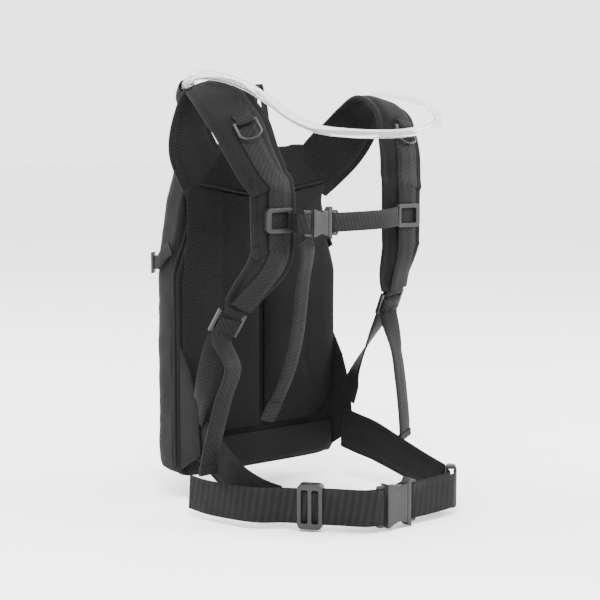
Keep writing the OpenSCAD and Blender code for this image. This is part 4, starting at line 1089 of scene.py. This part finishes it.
back_pad("mesh_pad_left", left_pad, -1.5, 5, back_mesh, ["back_pad_left"],
         pad_creases)
back_pad("mesh_pad_right", mirrored(right_pad), -1.5, 5, back_mesh, ["back_pad_right"],
         [((-a[0], a[1]), (-b[0], b[1]), w, d) for a, b, w, d in pad_creases])
back_pad("lumbar_pad", [(-104, 2), (104, 2), (111, 10), (111, 41), (-111, 41), (-111, 10)],
         -0.5, 5, flat_cloth, ["lumbar_panel"], [((-60, 20), (60, 20), 3, 0.8)])
yoke_half = [(-100, 317), (-113, 334), (-101, 352), (-84, 371), (-65, 377), (-27, 375)]
back_pad("mesh_yoke", yoke_half + mirrored(yoke_half), 1.5, 11.5, back_mesh, ["yoke"],
         [((-90, 331), (-30, 322), 3, 0.8), ((90, 331), (30, 322), 3, 0.8)])

# %% The board behind the pads
bm = bmesh.new()
outline_slab(bm, [(-109, 1), (109, 1), (115, 9), (115, 230), (92, 290), (92, 316), (-92, 316),
                  (-92, 290), (-115, 230), (-115, 9)], 5.2, 11.7, facing_back)
soft_edges(bm, bm.edges[:], 2.2)
finish_piece(new_piece("panel_board", bm, flat_cloth), "root", ["back_board"])

for s, label in ((-1, "left"), (1, "right")):
    cord_trim(f"wing_seam_{label}", [
        (s * 111, 2, 336), (s * 90, 0.5, 331), (s * 60, 0.5, 326), (s * 30, 0.8, 320),
        (s * 4, 1, 317)], 3.0, binding_cloth)

# %% [markdown]
# ## Gussets at the hips
# A triangle of cloth at each lower corner takes the pull of the shoulder
# webbing. It is two layers, turned and stitched, so its edges are soft.

# %% Gussets
for s, label in ((-1, "left"), (1, "right")):
    bm = bmesh.new()
    outline_slab(bm, [(7, 8), (7, 153), (-13, 122), (-27.5, 84), (-33, 32)], s * 111.2, s * 113.8,
                 lambda u, v, depth: (depth, u, v))
    bmesh.ops.subdivide_edges(bm, edges=bm.edges[:], cuts=3, use_grid_fill=True)
    soft_edges(bm, [e for e in bm.edges if e.is_manifold and e.calc_face_angle(0) > 1.0], 1.0, 2)
    finish_piece(new_piece(f"hip_gusset_{label}", bm, flat_cloth), "root", [f"gusset_{label}"])

# %% [markdown]
# ## The tube's sleeve and keeper, and the haul loop
# The hose leaves the bag inside a cloth sleeve that lies over the shoulder. A
# loop of elastic keeps the tube on the right strap, and a narrow webbing loop
# at the neck hangs the pack up.

# %% Sleeve, keeper and haul loop
sleeve_line = smooth_route([
    (-68, 34, 374, 20, 1, 0, 0), (-68, 34, 382, 20, 1, 0, 0), (-76, 32, 400, 20, 1, 0.1, 0),
    (-92, 20, 418, 20, 1, 0.3, 0.2), (-108, 2, 430, 19, 1, 0.2, 0.5),
    (-117, -17, 438.5, 18, 1, 0, 0.4)], 6)


def sleeve_section(width, i):
    swell = 1 + 0.06 * noise.noise(Vector((i * 0.55, 2, 7)))
    return [(width / 2 * swell * math.cos(math.tau * k / 20), 7.4 * swell * math.sin(math.tau * k / 20))
            for k in range(20)]


bm = bmesh.new()
pull_section(bm, [band_frame(sleeve_line, i)[:3] for i in range(len(sleeve_line))],
             [sleeve_section(p[3], i) for i, p in enumerate(sleeve_line)])
mouths = [f for f in bm.faces if len(f.verts) > 4]
bmesh.ops.delete(bm, geom=mouths, context="FACES")
bmesh.ops.recalc_face_normals(bm, faces=bm.faces)
sleeve = new_piece("tube_sleeve", bm, strap_cloth)
wall = sleeve.modifiers.new("cloth wall", "SOLIDIFY")
wall.thickness, wall.offset = 1.4 * MM, -1
finish_piece(sleeve, "root", ["hose_sleeve"])

haul_line = smooth_route([
    (-13, 5, 377.2, 4, 0, 1, 0), (-11.5, 5, 386, 10, 0, 1, 0), (-9, 5, 413, 10, 0, 1, 0),
    (-2.4, 5, 439.2, 10, 0, 1, 0), (0, 5, 443.2, 10, 0, 1, 0), (2.4, 5, 439.2, 10, 0, 1, 0),
    (9, 5, 413, 10, 0, 1, 0), (11.5, 5, 386, 10, 0, 1, 0), (13, 5, 377.2, 4, 0, 1, 0)], 8)
webbing_piece("neck_loop", [haul_line], 2, thin_webbing, "haul_handle", ["haul_loop"])

keeper_at = Vector((136, -6, 416))
run = (Vector((134, 16, 396)) - Vector((142, -26, 430))).normalized()
up = Vector((0, 0, 1)) - run * run.z
up = up.normalized()
keeper_loop = [(*(keeper_at + (up * math.cos(a) + run.cross(up) * math.sin(a)) * 6.5), 12, *run)
               for a in (math.tau * k / 24 for k in range(25))]
webbing_piece("tube_keeper", [keeper_loop], 1.3, thin_webbing, stands_for=["hose_keeper"])

# %% [markdown]
# ## Side compression straps
# A narrow webbing crosses each side of the bag on a slant, held by a flat
# buckle near the front corner.

# %% Side straps
side_off = 1.2 + WEB_T / 2
for s, label in ((-1, "left"), (1, "right")):
    corner = (116 - 24, BAG_D - 24)
    reach = 24 + side_off
    line = [(s * (116 + side_off), PAD_T + 3, SIDE_Z + 16, 15, 0, -0.4, 1),
            (s * (116 + side_off), PAD_T + 14, SIDE_Z + 10, 15, 0, -0.4, 1)]
    line += [(s * (corner[0] + reach * math.cos(a)), corner[1] + reach * math.sin(a),
              SIDE_Z - math.degrees(a) / 15, 15, 0, 0, 1)
             for a in (math.radians(d) for d in (0, 22.5, 45, 67.5))]
    webbing_piece(f"side_strap_{label}", [smooth_route(line, 5)], WEB_T, thin_webbing,
                  stands_for=["side_straps"] if s < 0 else ())

# %% [markdown]
# ## Rings, tabs and tapes
# Each D-ring hangs in a short loop of webbing sewn to the strap. The loop comes
# off the rail, goes round the ring's bar, and comes back down on itself.

# %% Tabs of webbing round a bar
RING_TAB = 2.9
RING_LIFT = STRAP_T / 2 + 2.6 + WEB_T + 0.3 + RING_TAB


def tab_route(place, across, outward, along, radius, width, reach):
    def point(down, out):
        return (*(place + along * down + outward * out), width, *across)

    low = [point(-reach, -radius), point(-reach * 0.55, -radius), point(-0.5, -radius)]
    turn = [point(radius * math.cos(a), radius * math.sin(a))
            for a in (math.pi * k / 8 for k in range(-3, 4))]
    home = [point(-0.5, radius), point(-reach * 0.4, radius * 0.7),
            point(-reach * 0.7, -radius * 0.35), point(-reach, WEB_T - radius)]
    return low + turn + home


ring_routes = []
for route in (left_strap, right_strap):
    place, across, outward, along = band_frame(route, 7 * STRAP_STEPS)
    ring_routes.append(tab_route(place + outward * RING_LIFT, across, outward, along,
                                 RING_TAB - 0.6, 20, 13))
webbing_piece("ring_loops", ring_routes, 1.2, thin_webbing, stands_for=["d_ring_tabs"])
lock_routes = [tab_route(*lock_frame(route), 2.6, 24, 12) for route in (left_strap, right_strap)]
webbing_piece("lock_loops", lock_routes, 1.5, thin_webbing, stands_for=["lock_tabs"])

# %% [markdown]
# A zip is two cloth tapes with a row of teeth on each, and the teeth mesh in
# the middle. Its tapes are sewn in just under the bag's face.


# %% Zips
def zip_piece(name, width, face, height, stands_for):
    bm = bmesh.new()
    stations = [(Vector((x, face - 0.1, height)), Vector((0, 0, 1)), Vector((0, 1, 0)))
                for x in (-width / 2 + 0.3, 0, width / 2 - 0.3)]
    pull_section(bm, stations, [flat_section(7.4, 0.9)] * 3)
    teeth = int(width / 1.6)
    for k in range(teeth):
        tooth = bmesh.ops.create_cube(bm, size=1)["verts"]
        row = 1 if k % 2 else -1
        place = Vector((-width / 2 + 2 + k * (width - 4) / teeth, face + 0.2, height + row * 0.7))
        bmesh.ops.scale(bm, verts=tooth, vec=Vector((1.1, 0.9, 2.4)) * MM)
        bmesh.ops.translate(bm, verts=tooth, vec=place * MM)
    bmesh.ops.recalc_face_normals(bm, faces=bm.faces)
    finish_piece(new_piece(name, bm, zip_plastic), "root", [stands_for])
    for s, label in ((-1, "lower"), (1, "upper")):
        cord_trim(f"{name}_{label}_fold", [
            (x, face + 0.4, height + s * 5.2)
            for x in (-width / 2 - 3, -width / 4, 0, width / 4, width / 2 + 3)], 2.2, binding_cloth)


cord_trim("pocket_piping", [
    (-91, 63, 14), (-93.8, 63, 24), (-94, 63, 60), (-94, 63, 120), (-93.5, 63, 155), (-89, 63, 166),
    (-78, 63, 168.2), (0, 63, 168.4), (78, 63, 168.2), (89, 63, 166), (93.5, 63, 155),
    (94, 63, 120), (94, 63, 60), (93.8, 63, 24), (91, 63, 14)], 3.2, binding_cloth)
zip_piece("main_zip", MAIN_ZIP_W, BAG_D, MAIN_ZIP_Z, "main_zipper_tape")
zip_piece("pocket_zip", POCKET_ZIP_W, POCKET_FACE, POCKET_ZIP_Z, "pocket_zipper_tape")

# %% [markdown]
# ## Moulded parts
# Moulded parts keep the measured shape. Their flat faces are put back together
# from the measured triangles, and every sharp edge gets the small radius that a
# mould leaves.


# %% Measured shapes with moulded edges
def moulded(node, body, material, edge=0.45, angle=32):
    source = nodes[node]
    bm = bmesh.new()
    bm.from_mesh(source.data)
    bm.transform(source.matrix_world)
    bmesh.ops.remove_doubles(bm, verts=bm.verts, dist=4e-6)
    bmesh.ops.dissolve_degenerate(bm, edges=bm.edges, dist=2e-5)
    bmesh.ops.dissolve_limit(bm, angle_limit=math.radians(3), verts=bm.verts, edges=bm.edges)
    if edge:
        sharp = math.radians(angle)
        soft_edges(bm, [e for e in bm.edges if e.is_manifold and e.calc_face_angle(0) > sharp], edge)
    bmesh.ops.triangulate(bm, faces=[f for f in bm.faces if len(f.verts) > 4])
    finish_piece(new_piece(f"{node}_moulded", bm, material), body, [node])


for node, body in (
        ("chest_slider_left", "chest_strap"), ("chest_slider_right", "chest_strap"),
        ("chest_buckle_socket", "chest_strap"), ("chest_buckle_plug", "chest_plug"),
        ("chest_prong_upper", "chest_prong_a"), ("chest_prong_lower", "chest_prong_b"),
        ("waist_buckle_socket", "root"), ("waist_buckle_plug", "waist_plug"),
        ("waist_prong_upper", "waist_prong_a"), ("waist_prong_lower", "waist_prong_b"),
        ("belt_triglide", "triglide"), ("belt_slider", "root"), ("side_buckles", "root"),
        ("ladder_lock_left", "lock_left"), ("ladder_lock_right", "lock_right")):
    moulded(node, body, satin_plastic)
for node, body in (("d_ring_left", "ring_left"), ("d_ring_right", "ring_right")):
    moulded(node, body, satin_plastic, edge=0)
for place in ("main", "pocket"):
    for part in ("slider", "puller"):
        moulded(f"{place}_zipper_{part}", f"{place}_zip_{part}", zip_plastic, edge=0.3)
moulded("bladder_neck", "root", neck_plastic)
moulded("bladder_cap", "filler_cap", blue_plastic)
moulded("hose_elbow", "root", neck_plastic)
moulded("bite_valve_body", "root", zip_plastic)
moulded("bite_valve_lever", "valve_lever", blue_plastic)
moulded("bite_valve_nipple", "root", silicone, edge=0.8)

# %% [markdown]

# %% [markdown]
# ## Inside the bag
# The bladder is a welded film bag, half full, and its hose runs up inside the
# bag to the sleeve.

# %% Bladder and inner hose
inner_points = smooth_route([
    (-12, 52, 34), (-30, 52, 36), (-62, 51, 54), (-76, 50, 90), (-78, 50, 150), (-78, 50, 210),
    (-78, 50, 270), (-74, 48, 320), (-68, 39, 350), (-68, 34, 366), (-68, 34, 380),
    (-76, 32, 400), (-92, 20, 418), (-108, 2, 430), (-119, -20, 439), (-123, -34, 443)], 6)
inner_tube = tube_piece("inner_tube", inner_points, TUBE, TUBE_WALL, tube_clear, "root",
                        ["inner_hose"])

bm = bmesh.new()
bm.from_mesh(nodes["bladder"].data)
bm.transform(nodes["bladder"].matrix_world)
bmesh.ops.remove_doubles(bm, verts=bm.verts, dist=4e-6)
bladder = new_piece("film_bladder", bm, bladder_film)
skin = bladder.modifiers.new("even skin", "REMESH")
skin.mode, skin.voxel_size = "VOXEL", VOXEL
applied(bladder)
relaxed(bladder, 3)
bladder.data.shade_smooth()
finish_piece(bladder, "root", ["bladder"])
